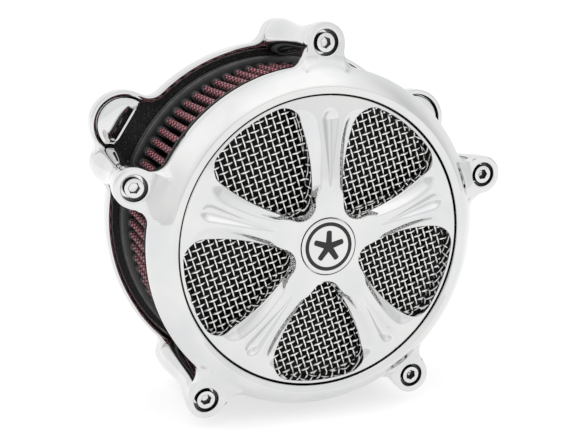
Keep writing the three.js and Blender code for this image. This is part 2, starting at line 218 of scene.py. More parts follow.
# %% Finished pieces
def edge_uses(mesh):
    """How many faces use each edge of a mesh. A closed solid has two everywhere."""
    uses = [0] * len(mesh.edges)
    for loop in mesh.loops:
        uses[loop.edge_index] += 1
    return uses


def shade(mesh):
    """Smooth shading, with the edges that turn sharply kept crisp."""
    mesh.shade_smooth()
    mesh.set_sharp_from_angle(angle=math.radians(SHARP_ANGLE))


def make_piece(name, bm, body, materials, nodes):
    """Turns a bmesh in millimetres into an object of the frame that stands for CAD nodes."""
    bmesh.ops.remove_doubles(bm, verts=bm.verts, dist=0.002)
    bmesh.ops.dissolve_degenerate(bm, edges=bm.edges, dist=0.0005)
    bmesh.ops.recalc_face_normals(bm, faces=bm.faces)
    bmesh.ops.scale(bm, vec=(MM, MM, MM), verts=bm.verts)
    mesh = bpy.data.meshes.new(name)
    bm.to_mesh(mesh)
    bm.free()
    shade(mesh)
    for material in materials:
        mesh.materials.append(material)
    piece = bpy.data.objects.new(name, mesh)
    bpy.context.scene.collection.objects.link(piece)
    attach(piece, body)
    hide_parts(*nodes)
    open_edges = sum(1 for count in edge_uses(mesh) if count != 2)
    print(f"{name}: {len(mesh.polygons)} faces, {open_edges} open edges")
    return piece


def cut_away(piece, cutter_bm):
    """Takes a closed shape in millimetres out of a finished piece."""
    bmesh.ops.remove_doubles(cutter_bm, verts=cutter_bm.verts, dist=0.001)
    bmesh.ops.recalc_face_normals(cutter_bm, faces=cutter_bm.faces)
    bmesh.ops.scale(cutter_bm, vec=(MM, MM, MM), verts=cutter_bm.verts)
    mesh = bpy.data.meshes.new("cutter")
    cutter_bm.to_mesh(mesh)
    cutter_bm.free()
    cutter = bpy.data.objects.new("cutter", mesh)
    bpy.context.scene.collection.objects.link(cutter)
    modifier = piece.modifiers.new("cut", "BOOLEAN")
    modifier.operation = "DIFFERENCE"
    modifier.solver = "EXACT"
    modifier.object = cutter
    evaluated = piece.evaluated_get(bpy.context.evaluated_depsgraph_get())
    piece.data = bpy.data.meshes.new_from_object(evaluated)
    piece.modifiers.clear()
    bpy.data.objects.remove(cutter)
    shade(piece.data)


print("pieces are shaded smooth below", SHARP_ANGLE, "degrees")


# %% [markdown]
# ## Finishes
# Almost everything seen is bright chrome plate, so the light matters as much as the material.
# Chrome is a metal with very low roughness, and what makes it look real is that it is never
# perfect: the polish under the plate leaves faint ripples, and hands leave haze. Most finishes
# here differ only in their colour, polish and grain, so one function builds them from sizes in
# millimetres, and only the wire and the gauze need nodes of their own.
# %% Colour and node helpers
def linear(code):
    """A hex colour as the eye sees it, in the linear values that a shader uses."""
    channels = [int(code[i:i + 2], 16) / 255 for i in (1, 3, 5)]
    return (*[c / 12.92 if c <= 0.04045 else ((c + 0.055) / 1.055) ** 2.4 for c in channels], 1.0)


def fill(tree, node, inputs):
    """Links or sets a node's inputs, by their names or numbers."""
    for socket, value in inputs.items():
        if isinstance(value, bpy.types.NodeSocket):
            tree.links.new(value, node.inputs[socket])
        else:
            node.inputs[socket].default_value = value


def add(tree, kind, inputs=None, stops=(), **settings):
    """Adds a node with its options, its inputs and, on a colour ramp, (place, hex colour) stops."""
    made = tree.nodes.new(kind)
    for name, value in settings.items():
        setattr(made, name, value)
    fill(tree, made, inputs or {})
    for k, (place, code) in enumerate(stops):
        elements = made.color_ramp.elements
        element = elements[k] if k < 2 else elements.new(place)
        element.position, element.color = place, linear(code)
    return made


def start_material(name, metallic=0.0):
    material = bpy.data.materials.new(name)
    material.use_nodes = True
    shader = material.node_tree.nodes["Principled BSDF"]
    shader.inputs["Metallic"].default_value = metallic
    return material, material.node_tree, shader


def shaded_by(tree, axis, start_mm, end_mm):
    """0 to 1 between two places along Y, or along "R", the distance from the filter's axis."""
    place = add(tree, "ShaderNodeTexCoord").outputs["Object"]
    if axis == "R":
        across = add(tree, "ShaderNodeVectorMath", {0: place, 1: (1, 0, 1)}, operation="MULTIPLY")
        value = add(tree, "ShaderNodeVectorMath", {0: across.outputs[0]},
                    operation="LENGTH").outputs["Value"]
    else:
        value = add(tree, "ShaderNodeSeparateXYZ", {"Vector": place}).outputs[axis]
    return add(tree, "ShaderNodeMapRange", {"Value": value, "From Min": start_mm * MM,
                                            "From Max": end_mm * MM}).outputs["Result"]


def finish(name, tint, polish, grain, metallic=0.0, places=(0.3, 0.7), shade_radii=None):
    """A cloudy, finely grained finish. Tint, polish and grain each start with their lumps' size
    in mm and the noise detail. Then come two colours, two roughnesses, and a depth in mm with a
    strength. The last argument gives the two distances from the axis between which a painted shade, dark
    towards the axis, fades out."""
    material, tree, shader = start_material(name, metallic)
    place = add(tree, "ShaderNodeTexCoord").outputs["Object"]
    clouds, smears, relief = (
        add(tree, "ShaderNodeTexNoise", {"Vector": place, "Scale": 1 / (lump_mm * MM),
                                         "Detail": detail}).outputs["Fac"]
        for lump_mm, detail, *_ in (tint, polish, grain))
    colour = add(tree, "ShaderNodeValToRGB", {"Fac": clouds},
                 stops=list(zip(places, tint[2:]))).outputs["Color"]
    if shade_radii:
        # painted shade: the colour is multiplied down to near black towards the axis
        radial_shade = add(tree, "ShaderNodeValToRGB", {"Fac": shaded_by(tree, "R", *shade_radii)},
                    stops=[(0.0, "#101010"), (1.0, "#ffffff")]).outputs["Color"]
        colour = add(tree, "ShaderNodeMixRGB", {"Fac": 1.0, "Color1": colour, "Color2": radial_shade},
                     blend_type="MULTIPLY").outputs["Color"]
    rough = add(tree, "ShaderNodeMapRange", {"Value": smears, "To Min": polish[2],
                                             "To Max": polish[3]})
    dents = add(tree, "ShaderNodeBump", {"Height": relief, "Distance": grain[2] * MM,
                                         "Strength": grain[3]})
    fill(tree, shader, {"Base Color": colour, "Roughness": rough.outputs["Result"],
                        "Normal": dents.outputs["Normal"]})
    return material


print("finish helpers ready")


# %% [markdown]
# ### Metals
# Nickel-chrome over polished aluminium is near-white and mirror-like, with a ripple as wide as a
# fingertip. The screws' plate is hazier, because small parts are polished in a drum. Zinc is
# greyer and softer, with turning marks, and black oxide is nearly black with a dull gleam.
# %% Plated and blackened metals
PLATE = (22, 2, "#d6d7d8", "#dfdfde")
chrome = finish("chrome_plated_aluminium", PLATE, (9, 4, 0.03, 0.07), (14, 1, 0.012, 0.5), 1.0)
screw_chrome = finish("chrome_plated_steel", PLATE, (9, 4, 0.072, 0.168), (3, 1, 0.012, 0.5), 1.0)
zinc = finish("zinc_plated_steel", (5, 4, "#aeb2b4", "#cdcfce"), (5, 4, 0.22, 0.4),
              (0.5, 2, 0.02, 0.4), 1.0)
oxide = finish("black_oxide_steel", (3, 4, "#0b0b0c", "#1a1a1b"), (3, 4, 0.4, 0.6),
               (0.4, 2, 0.02, 0.5), 0.6)
print("metals:", [m.name for m in (chrome, screw_chrome, zinc, oxide)])


# %% [markdown]
# ### Screen wire
# Drawn stainless wire is painted bright where it crosses on top, and dark as painted shade where it
# dives under. The depth below the front of the cloth gives that, with a little noise to break it up.
# %% Drawn wire
SCREEN_FRONT = front("wire_screen")
# painted shade: over this depth below the cloth's front the wire's colour falls from near white to near
# black
SHADE_DEPTH = 1.1                           # mm below the cloth's front


def drawn_wire():
    material, tree, shader = start_material("drawn_stainless_wire", metallic=1.0)
    place = add(tree, "ShaderNodeTexCoord").outputs["Object"]
    marks = add(tree, "ShaderNodeTexNoise", {"Vector": place, "Scale": 1 / (0.6 * MM),
                                             "Detail": 3.0}).outputs["Fac"]
    # painted shade: a wire's colour gets darker the deeper it lies behind the cloth's front
    depth = shaded_by(tree, "Y", SCREEN_FRONT, SCREEN_FRONT + SHADE_DEPTH)
    uneven = add(tree, "ShaderNodeMapRange", {"Value": marks, "To Min": -0.12, "To Max": 0.12})
    depth_shade = add(tree, "ShaderNodeMath", {0: depth, 1: uneven.outputs["Result"]}, operation="ADD")
    colour = add(tree, "ShaderNodeValToRGB", {"Fac": depth_shade.outputs[0]},
                 stops=[(0.35, "#f8f8f6"), (0.65, "#8e8e8c"), (0.9, "#121212")])
    rough = add(tree, "ShaderNodeMapRange", {"Value": marks, "To Min": 0.2, "To Max": 0.36})
    fill(tree, shader, {"Base Color": colour.outputs["Color"], "Roughness": rough.outputs["Result"]})
    return material


wire = drawn_wire()
print("wire:", wire.name)


# %% [markdown]
# ### Rubber, casting and enamel
# Moulded rubber is matt and cloudy, with a painted shade that darkens it towards the axis. The pan's
# floor and inner walls and the hoods' slots get a speckled black finish as painted shade. Enamel is
# deep black and glossy, with a little orange peel.
# %% Dark finishes
# painted shade: the ring's front face and the potting down in the folds are darkened towards the axis
polyurethane = finish("moulded_polyurethane", (6, 4, "#343435", "#4a4a4b"), (6, 4, 0.26, 0.42),
                      (0.7, 2, 0.04, 0.5), shade_radii=(85, 87.6))
potting = finish("potting_compound", (6, 4, "#262627", "#3c3c3d"), (6, 4, 0.22, 0.38),
                 (0.7, 2, 0.04, 0.5), shade_radii=(80, 84.6))
nitrile = finish("moulded_nitrile_rubber", (6, 4, "#141414", "#202021"), (6, 4, 0.52, 0.68),
                 (0.5, 2, 0.04, 0.5))
# painted shade: a speckled black for the pan's floor and inner walls and the hoods' slots
casting = finish("speckled_shade_black", (1.2, 3, "#060606", "#3c3c3c"), (1.2, 3, 0.35, 0.6),
                 (1.2, 3, 0.08, 0.6), places=(0.55, 0.72))
enamel = finish("baked_black_enamel", (2, 2, "#090909", "#101010"), (2, 2, 0.25, 0.4),
                (0.8, 2, 0.01, 0.4))
print("dark finishes:", [m.name for m in (polyurethane, potting, nitrile, casting, enamel)])


# %% [markdown]
# ### Oiled gauze
# The filter is cotton gauze between two wire nets, red with oil: pale crossed threads outside,
# and dark folds inside. Two waves that cross on the gauze's own UV, which is in millimetres,
# make the net. It is drawn coarser than the real half millimetre, and longer along the pleat,
# so that it still shows from the front.
# %% Oiled cotton gauze
THREAD_MM = 1.8
THREAD_TURNS = (40, -50)
THREAD_STRETCH = 0.45
FOLD_SHADE = (77, 83.6)                     # radii between which a fold comes out of its shadow


def cotton_gauze():
    material, tree, shader = start_material("oiled_cotton_gauze")
    place = add(tree, "ShaderNodeTexCoord")
    threads = []
    for turn in THREAD_TURNS:
        slanted = add(tree, "ShaderNodeMapping", {"Vector": place.outputs["UV"],
                                                  "Rotation": (0, 0, math.radians(turn)),
                                                  "Scale": (1, THREAD_STRETCH, 1)})
        threads.append(add(tree, "ShaderNodeTexWave", {
            "Vector": slanted.outputs["Vector"], "Scale": TAU / THREAD_MM / 20, "Distortion": 1.2,
            "Detail": 1.0, "Detail Scale": 2.0}, wave_type="BANDS").outputs["Fac"])
    both = add(tree, "ShaderNodeMath", {0: threads[0], 1: threads[1]}, operation="ADD")
    net = add(tree, "ShaderNodeMath", {0: both.outputs[0], 1: 0.5}, operation="MULTIPLY")
    fibre = add(tree, "ShaderNodeTexNoise", {"Vector": place.outputs["Object"],
                                             "Scale": 1 / (0.5 * MM), "Detail": 3.0})
    fluff = add(tree, "ShaderNodeMapRange", {"Value": fibre.outputs["Fac"], "To Min": 0.7,
                                             "To Max": 1.3})
    cloth = add(tree, "ShaderNodeMath", {0: net.outputs[0], 1: fluff.outputs["Result"]},
                operation="MULTIPLY").outputs[0]
    red = add(tree, "ShaderNodeValToRGB", {"Fac": cloth},
              stops=[(0.25, "#15080b"), (0.5, "#5a2a33"), (0.85, "#bb7780")])
    fold = add(tree, "ShaderNodeValToRGB", {"Fac": shaded_by(tree, "R", *FOLD_SHADE)},
               stops=[(0.0, "#050405"), (0.6, "#5a5a5a"), (1.0, "#ffffff")])
    dusky = add(tree, "ShaderNodeMixRGB", {"Fac": 1.0, "Color1": red.outputs["Color"],
                                           "Color2": fold.outputs["Color"]}, blend_type="MULTIPLY")
    knots = add(tree, "ShaderNodeBump", {"Height": cloth, "Distance": 0.3 * MM, "Strength": 0.8})
    fill(tree, shader, {"Base Color": dusky.outputs["Color"], "Roughness": 0.75,
                        "Normal": knots.outputs["Normal"]})
    return material


gauze = cotton_gauze()
print("gauze:", gauze.name)


# %% [markdown]
# ## Camera
# The view is from the filter's left front, a little above it. The camera's turn is built from a
# yaw, a pitch and a small roll, which says more to a reader than a matrix would.
# %% Set the camera
LENS_MM = 58.4
CAMERA_PLACE = (-0.1785, -0.4982, 0.1168)
YAW, PITCH, ROLL = (math.radians(a) for a in (-21.01, 12.94, 1.81))
away = Vector((math.sin(YAW) * math.cos(PITCH), -math.cos(YAW) * math.cos(PITCH), math.sin(PITCH)))
level = Vector((0, 0, 1)).cross(away).normalized()
upright = away.cross(level)
right = level * math.cos(ROLL) + upright * math.sin(ROLL)
up = upright * math.cos(ROLL) - level * math.sin(ROLL)
camera_data = bpy.data.cameras.new("studio_camera")
camera_data.lens = LENS_MM
camera = bpy.data.objects.new("studio_camera", camera_data)
turned = Matrix((right, up, away)).transposed().to_4x4()
camera.matrix_world = Matrix.Translation(CAMERA_PLACE) @ turned
bpy.context.scene.collection.objects.link(camera)
bpy.context.scene.camera = camera
print("camera at", [round(v, 3) for v in camera.location])


# %% [markdown]
# ## Cover ring
# The ring is one casting: a bezel with a bright crest, a slope that rolls outward, and five flat
# ears that flow into the slope. A spun ring with cylinders stuck on would show hard joins in its
# reflections. So the whole casting is one sheet of quads that goes round the ring one way and
# round its cross-section the other, and its height comes from two surfaces blended together.
# %% The ring's outline and section
EAR_FILLET = 9.0
RING_OUTER = 87.5
RING_INNER = 74.4
CREST_RADIUS = 77.8
CREST = 84.8
SLOPE_FOOT = -EAR_FACE
APRON = 84.5                                # outside it the rows of quads swing out into the ears
OUTLINE_STEP = 0.8


def ear(angle):
    return flat(SCREW_CIRCLE, angle), EAR_RADIUS


def rim(radius):
    return AXIS, radius


def ring_section(r):
    """Height of the plain ring towards the viewer: a facet beside the insert, the crest, the slope."""
    facet = CREST - 1.2 + 0.36 * (r - RING_INNER)
    share = (r - CREST_RADIUS) / (RING_OUTER - CREST_RADIUS)
    slope = CREST - (CREST - SLOPE_FOOT) * (0.62 * share + 0.38 * share * share)
    return smooth_min(facet, slope, 0.5)


ring_outline = lobed_outline([c for a in sorted(EAR_ANGLES) for c in (ear(a), rim(RING_OUTER))],
                             EAR_FILLET, OUTLINE_STEP)
print(f"ring outline: {len(ring_outline)} points")


# %% Measure the outline
def lengths_along(points):
    """How far along a closed outline each point lies, as a share of the whole."""
    total, shares = 0.0, [0.0]
    for a, b in zip(points, points[1:] + points[:1]):
        total += (b - a).length
        shares.append(total)
    return [s / total for s in shares]


def normals_of(points):
    """The outward direction at each point of a counter-clockwise outline."""
    found = []
    for i, _ in enumerate(points):
        along = points[(i + 1) % len(points)] - points[i - 1]
        found.append(Vector((along.y, -along.x)).normalized())
    return found


ring_shares = lengths_along(ring_outline)
ring_normals = normals_of(ring_outline)
first_turn = math.degrees(heading(AXIS, ring_outline[0]))
ring_turns = [0.0]
for a, b in zip(ring_outline, ring_outline[1:] + ring_outline[:1]):
    ring_turns.append(ring_turns[-1] + math.degrees(b.angle_signed(a)))
print(f"the outline's columns turn by {ring_turns[-1]:.0f} degrees in all")


# %% Lay the ring's sheet of quads
face_radii = [RING_INNER + d for d in (0, 0.12, 0.35, 0.8, 1.6, 2.4, 2.9, 3.2, 3.5, 3.9, 4.5, 5.3, 6.3,
                                       7.5, 8.8)] + [APRON]
APRON_ROWS = 14
ROUND_MM = 1.0
EAR_BLEND = (0.6, 8.9)                      # the hollow at the slope's foot, and what an ear adds
back_rows = [(0, EAR_FACE + ROUND_MM + 1), (0, RING_BACK - 1), (0.3, RING_BACK - 0.3), (1, RING_BACK)]
inner_rows = [RING_BACK, RING_BACK - 4, -CREST + 5]


def bezel_turn(i):
    """The angle at which column i crosses the bezel: even steps, in time with the ears."""
    return first_turn + 0.25 * 360 * ring_shares[i] + 0.75 * ring_turns[i]


def ring_place(i, j):
    k = i % len(ring_outline)
    edge, out = ring_outline[k], ring_normals[k]
    inner = flat(1, bezel_turn(i))
    if j < len(face_radii):
        r = face_radii[j]
        return raised(inner * r, -ring_section(r) + edge_drop(r - RING_INNER, 0.35))
    j -= len(face_radii)
    if j < APRON_ROWS:
        share = 1 - (1 - (j + 1) / APRON_ROWS) ** 1.6
        start = inner * APRON
        point = start.lerp(edge, share)
        swell = min(max(edge.length - RING_OUTER, 0) / 6, 1)
        height = smooth_max(ring_section(point.length), SLOPE_FOOT, EAR_BLEND[0] + EAR_BLEND[1] * swell)
        return raised(point, -height + edge_drop((edge - point).length, ROUND_MM))
    j -= APRON_ROWS
    if j < len(back_rows):
        inset, y = back_rows[j]
        return raised(edge - out * inset, y)
    j -= len(back_rows)
    if j < len(inner_rows):
        return raised(inner * RING_INNER, inner_rows[j])
    return ring_place(i, 0)


ring_rows = len(face_radii) + APRON_ROWS + len(back_rows) + len(inner_rows)
ring_bm = bmesh.new()
sheet(ring_bm, len(ring_outline), ring_rows, ring_place)
ring = make_piece("ring_casting", ring_bm, "cover", [chrome, oxide], ["cover_ring"])


# %% [markdown]
# ### Screw seats
# Each ear has a deep seat for its screw's head, with a rounded mouth. It is a spun shape taken
# out of the casting, as a counterbore cuts it. The seat's wall takes black oxide as painted shade,
# and that draws a black ring round each head.
# %% Cut the counterbores
COUNTERBORE = 6.35
MOUTH_ROUND = 0.9
SEAT_Y = EAR_FACE + 6.6
SCREW_HOLE = 3.5


def counterbore(bm, at):
    """A cutter for one screw seat: a rounded mouth, a deep seat, and the screw's hole."""
    mouth = [(COUNTERBORE + MOUTH_ROUND * (1 - math.sin(a)), EAR_FACE + MOUTH_ROUND * (1 - math.cos(a)))
             for a in (math.radians(d) for d in range(0, 91, 15))]
    wide = COUNTERBORE + MOUTH_ROUND + 0.2
    spun(bm, [(0, EAR_FACE - 3), (wide, EAR_FACE - 3), (wide, EAR_FACE - 0.01)] + mouth
         + [(COUNTERBORE, SEAT_Y), (SCREW_HOLE, SEAT_Y), (SCREW_HOLE, RING_BACK + 3),
            (0, RING_BACK + 3)], steps=64, at=at, closed=False)


seats = bmesh.new()
for angle in EAR_ANGLES:
    counterbore(seats, flat(SCREW_CIRCLE, angle))
cut_away(ring, seats)
# painted shade: faces deep in each seat take black oxide instead of chrome
for polygon in ring.data.polygons:
    x, y, z = polygon.center / MM
    deep = EAR_FACE + MOUTH_ROUND < y < SEAT_Y + 0.1
    polygon.material_index = int(deep and any(
        (Vector((x, z)) - flat(SCREW_CIRCLE, a)).length < COUNTERBORE + 0.1 for a in EAR_ANGLES))
print(f"ring after cutting: {len(ring.data.polygons)} faces")


# %% [markdown]
# ## Posts and cover screws
# Behind each ear a waisted post reaches back to the backplate, and a long socket-head screw runs
# through both. The posts are turned shapes, so each is a profile spun about its own axis. A plain
# cylinder would miss the waist, which gives the chrome its narrow bright line.
# %% Spin the posts
POST_WAIST = 7.1
POST_STEPS = 24


def post_radius(share):
    """The post is widest at its ends and slimmest half-way."""
    return EAR_RADIUS - (EAR_RADIUS - POST_WAIST) * math.sin(math.pi * share) ** 1.4


for number, angle in enumerate(EAR_ANGLES, 1):
    node = f"cover_post_{number}"
    foot = back(node)
    head = RING_BACK - 1
    outside = [(post_radius(k / POST_STEPS), head + (foot - 0.6 - head) * k / POST_STEPS)
               for k in range(POST_STEPS + 1)]
    lip = [(EAR_RADIUS - 0.2, foot - 0.18), (EAR_RADIUS - 0.6, foot)]
    bm = bmesh.new()
    spun(bm, outside + lip + [(SCREW_HOLE, foot), (SCREW_HOLE, head)], steps=48,
         at=flat(SCREW_CIRCLE, angle))
    make_piece(f"waisted_post_{number}", bm, "cover", [chrome], [node])


# %% [markdown]
# ### Socket-head screws
# A screw is a sheet of quads rolled round its axis, from the bottom of the socket over the head
# and down the shank. Only the socket's rows follow a hexagon, and its walls take black oxide as painted
# shade.
# %% Turn the socket-head screws
SCREW_STEPS = 48
HEX_TURNS = [12, 25, 41, 7, 33]             # degrees at which each screw came tight


def hex_reach(across, degrees):
    """The radius of a hexagon at an angle, from its width across flats."""
    return across / 2 / math.cos(math.radians((degrees + 30) % 60 - 30))


def socket_screw(bm, node, across, head_height, shank, at, turn=0.0, round_mm=0.5, facing=1):
    """A socket-head screw in a node's box, head first. Facing -1 puts the head at the back."""
    low, high = box_mm(node)
    head, length = (high.x - low.x) / 2, high.y - low.y
    start = low.y if facing > 0 else high.y
    socket = head_height * 0.55
    # each row is a radius, how much of the hexagon's reach to add to it, and the depth
    rows = [(0, 0, socket + 0.5), (0, 0.6, socket), (0, 1, socket), (0, 1, 0.25), (0.25, 1, 0),
            (head - round_mm, 0, 0), (head - round_mm * 0.3, 0, round_mm * 0.3), (head, 0, round_mm),
            (head, 0, head_height), (shank, 0, head_height), (shank, 0, length - 0.5),
            (shank - 0.5, 0, length), (0, 0, length)]

    def place(i, j):
        degrees = 360 * i / SCREW_STEPS
        r, hexagon, depth = rows[j]
        reach = r + hexagon * hex_reach(across, degrees)
        return raised(at + flat(reach, degrees + turn), start + facing * depth)

    sheet(bm, SCREW_STEPS, len(rows) - 1, place)
    bm.normal_update()
    # painted shade: the socket's walls take the second, black material
    for face in bm.faces:
        y = face.calc_center_median().y
        inside = (face.calc_center_median().xz - at).length < across * 0.6
        face.material_index = int(inside and 0.26 < abs(y - start) < socket - 0.1)


for number, angle in enumerate(EAR_ANGLES, 1):
    node = f"cover_screw_{number}"
    bm = bmesh.new()
    socket_screw(bm, node, 4.8, 6.3, 3.1, flat(SCREW_CIRCLE, angle), HEX_TURNS[number - 1])
    make_piece(f"socket_screw_{number}", bm, f"screw_{number}", [screw_chrome, oxide],
               [node])


# %% [markdown]
# ## Five-spoke insert
# The insert is a cast and polished disc with five windows. Its hub is a flat star, each arm runs
# out along a spoke as a ridge that forks in two, and a scoop follows each side of every window.
# Modelling this by hand from a few faces would lump the reflections, so one tenth of it is a
# sheet of quads stretched from the window's edge to the middle of the spoke. Its height is the
# lowest of three surfaces: the plain face, the scoop along the window, and the valley of the
# fork. Then the tenth is mirrored and spun five times.
# %% The window's outline, from arcs
WINDOW_INNER, WINDOW_OUTER = 19.4, 72.0
TIP_ROUND, SIDE_ROUND, CORNER_ROUND = 7.0, 90.0, 9.5
CORNER_TURN = 14.1                          # degrees from the window's middle to its corner's centre
HALF_SECTOR = 180 / len(EAR_ANGLES)
CELL = 0.42


def half_window():
    """Half of a window's edge, from its inner tip to the middle of its outer side."""
    tip = Vector((WINDOW_INNER + TIP_ROUND, 0))
    corner = flat(WINDOW_OUTER - CORNER_ROUND, CORNER_TURN)
    side = meeting_point(tip, SIDE_ROUND - TIP_ROUND, corner, SIDE_ROUND - CORNER_ROUND)
    leave_tip, reach_corner = heading(side, tip), heading(side, corner)
    points = arc(tip, TIP_ROUND, math.pi, leave_tip, CELL)
    points += arc(side, SIDE_ROUND, leave_tip, reach_corner, CELL)
    points += arc(corner, CORNER_ROUND, reach_corner, heading(AXIS, corner), CELL)
    points += arc(AXIS, WINDOW_OUTER, heading(AXIS, corner), 0, CELL)
    points.append(Vector((WINDOW_OUTER, 0)))
    return [flat(p.length, HALF_SECTOR - math.degrees(heading(AXIS, p))) for p in points]


window_edge = half_window()
print(f"half window: {len(window_edge)} points")


# %% The face's height: star, fork and scoops
CAP_RECESS = 14.6
LAND_START, LAND_EDGE = 18.0, -82.5
SCOOP_DEPTH = 3.5
SCOOP_WIDTHS = (1.5, 3.7, 6.4)              # at the window's tip, where it begins, and at its end
SCOOP_START, SCOOP_SPREAD = (26, 31), (28, 64)
SCOOP_END, SCOOP_NOSE = 60.0, 8.0
CREASE_BLEND = 0.9
FORK_START, FORK_END, FORK_HALF = 30.0, 61.0, 3.9
FORK_DEPTH, FORK_NOSE = 2.6, 6.0


def between(value, low, high):
    """How far a value has come from low to high, eased at both ends."""
    share = min(max((value - low) / (high - low), 0), 1)
    return share * share * (3 - 2 * share)


def land(r):
    """The plain face: flat at the hub, then falling ever faster towards the rim."""
    share = min(max((r - LAND_START) / (INSERT_RADIUS - LAND_START), 0), 1)
    return -HUB_FACE - (LAND_EDGE - HUB_FACE) * share ** 1.35


def scoop_width(r):
    start, wide, end = SCOOP_WIDTHS
    return (start + (wide - start) * between(r, *SCOOP_START)
            + (end - wide) * between(r, *SCOOP_SPREAD))


def face_height(u, v, from_window):
    """Height of the face, u along the spoke and v across it, this far from the window's edge."""
    r = math.hypot(u, v)
    plain = land(r)
    share = math.hypot(from_window / scoop_width(r), max(r - SCOOP_END, 0) / SCOOP_NOSE)
    height = smooth_min(plain, plain - SCOOP_DEPTH * (1 - share ** 1.5), CREASE_BLEND)
    fork = FORK_HALF * min(max((u - FORK_START) / (FORK_END - FORK_START), 0), 1.1)
    if fork > 0.05:
        share = math.hypot(v / fork, max(u - FORK_END, 0) / FORK_NOSE)
        valley = plain - FORK_DEPTH * fork / FORK_HALF * (1 - share ** 2)
        height = smooth_min(height, valley, CREASE_BLEND)
    return height


print("face drops", round(face_height(INSERT_RADIUS, 0, 9) + HUB_FACE, 1), "mm from hub to rim")


# %% Stretch the sheet, mirror it and spin it
WINDOW_ROUND = 0.6
ROUND_ROWS = [0, 0.05, 0.15, 0.32, WINDOW_ROUND]
SPOKE_ROWS = 22
HUB_SHARE, RIM_SHARE = 0.1, 0.66            # where the far side turns from hub to spoke to rim
edge_lengths = [0.0]
for a, b in zip(window_edge, window_edge[1:]):
    edge_lengths.append(edge_lengths[-1] + (b - a).length)
HUB_REACH, RIM_REACH = (min(edge_lengths, key=lambda reach: abs(reach - edge_lengths[-1] * share))
                        for share in (HUB_SHARE, RIM_SHARE))


def far_side(i):
    """The point of the hub circle, the spoke's middle or the rim that faces window point i."""
    reach = edge_lengths[i]
    if reach <= HUB_REACH:
        return flat(CAP_RECESS, HALF_SECTOR * (1 - reach / HUB_REACH))
    if reach < RIM_REACH:
        share = (reach - HUB_REACH) / (RIM_REACH - HUB_REACH)
        return Vector((CAP_RECESS + (INSERT_RADIUS - CAP_RECESS) * share, 0))
    share = (reach - RIM_REACH) / (edge_lengths[-1] - RIM_REACH)
    return flat(INSERT_RADIUS, HALF_SECTOR * share)


def face_place(i, j):
    start, end = window_edge[i], far_side(i)
    length = (end - start).length
    last = 2 * len(ROUND_ROWS) + SPOKE_ROWS - 1
    if j < len(ROUND_ROWS):
        distance = ROUND_ROWS[j]
    elif j > last - len(ROUND_ROWS):
        distance = length - ROUND_ROWS[last - j]
    else:
        inside = length - 2 * ROUND_ROWS[-1]
        distance = ROUND_ROWS[-1] + inside * (j - len(ROUND_ROWS) + 1) / (SPOKE_ROWS + 1)
    point = start.lerp(end, distance / length)
    r = point.length
    drop = (edge_drop(distance, WINDOW_ROUND) + edge_drop(INSERT_RADIUS - r, 0.5)
            + edge_drop(r - CAP_RECESS, 0.35))
    return raised(point, -face_height(point.x, abs(point.y), distance) + drop)


def back_place(i, j):
    return raised(window_edge[i].lerp(far_side(i), j / 2), INSERT_BACK)


insert_bm = bmesh.new()
columns = len(window_edge) - 1
sheet(insert_bm, columns, 2 * len(ROUND_ROWS) + SPOKE_ROWS - 1, face_place)
sheet(insert_bm, columns, 2, back_place)
turn_to_spoke = Matrix.Rotation(-math.radians(EAR_ANGLES[-1]), 4, "Y")
bmesh.ops.transform(insert_bm, matrix=turn_to_spoke, verts=insert_bm.verts)
bmesh.ops.mirror(insert_bm, geom=insert_bm.verts[:] + insert_bm.edges[:] + insert_bm.faces[:],
                 matrix=turn_to_spoke, merge_dist=0.001, axis="Z")
bmesh.ops.spin(insert_bm, geom=insert_bm.verts[:] + insert_bm.edges[:] + insert_bm.faces[:],
               cent=(0, 0, 0), axis=(0, 1, 0), angle=TAU * 4 / 5, steps=4, use_duplicate=True)
bmesh.ops.remove_doubles(insert_bm, verts=insert_bm.verts, dist=0.004)
print(f"insert: {len(insert_bm.faces)} faces before its walls")


# %% [markdown]
# ### The insert's walls
# Front and back are still two open sheets. Their edges are extruded into the walls of the
# windows, the rim and the recess for the cap, and the hole for the cap's stud is bridged.
# %% Close the insert with window walls, rim and cap recess
RECESS_FLOOR = -84.5
STUD_HOLE = 3.3
borders = [e for e in insert_bm.edges if e.is_boundary and e.verts[0].co.y < INSERT_BACK - 0.5]
wall = bmesh.ops.extrude_edge_only(insert_bm, edges=borders)
for corner in (v for v in wall["geom"] if isinstance(v, bmesh.types.BMVert)):
    r = math.hypot(corner.co.x, corner.co.z)
    corner.co.y = RECESS_FLOOR if r < CAP_RECESS + 0.1 else INSERT_BACK


def open_loop(bm, level):
    """The boundary edges of the hub's hole at one level along the axis."""
    return [e for e in bm.edges if e.is_boundary and abs(e.verts[0].co.y - level) < 0.01
            and math.hypot(e.verts[0].co.x, e.verts[0].co.z) < CAP_RECESS + 0.1]


for level in (RECESS_FLOOR, INSERT_BACK):
    ring_out = bmesh.ops.extrude_edge_only(insert_bm, edges=open_loop(insert_bm, level))
    for corner in (v for v in ring_out["geom"] if isinstance(v, bmesh.types.BMVert)):
        scale = STUD_HOLE / math.hypot(corner.co.x, corner.co.z)
        corner.co.x, corner.co.z = corner.co.x * scale, corner.co.z * scale
bmesh.ops.remove_doubles(insert_bm, verts=insert_bm.verts, dist=0.002)
stud_walls = [e for level in (RECESS_FLOOR, INSERT_BACK) for e in open_loop(insert_bm, level)
              if e.verts[0].co.xz.length < STUD_HOLE + 0.1]
print(f"stud hole: {len(stud_walls)} edges to bridge")
bmesh.ops.bridge_loops(insert_bm, edges=stud_walls)
make_piece("spoked_insert", insert_bm, "cover", [chrome], ["face_insert"])


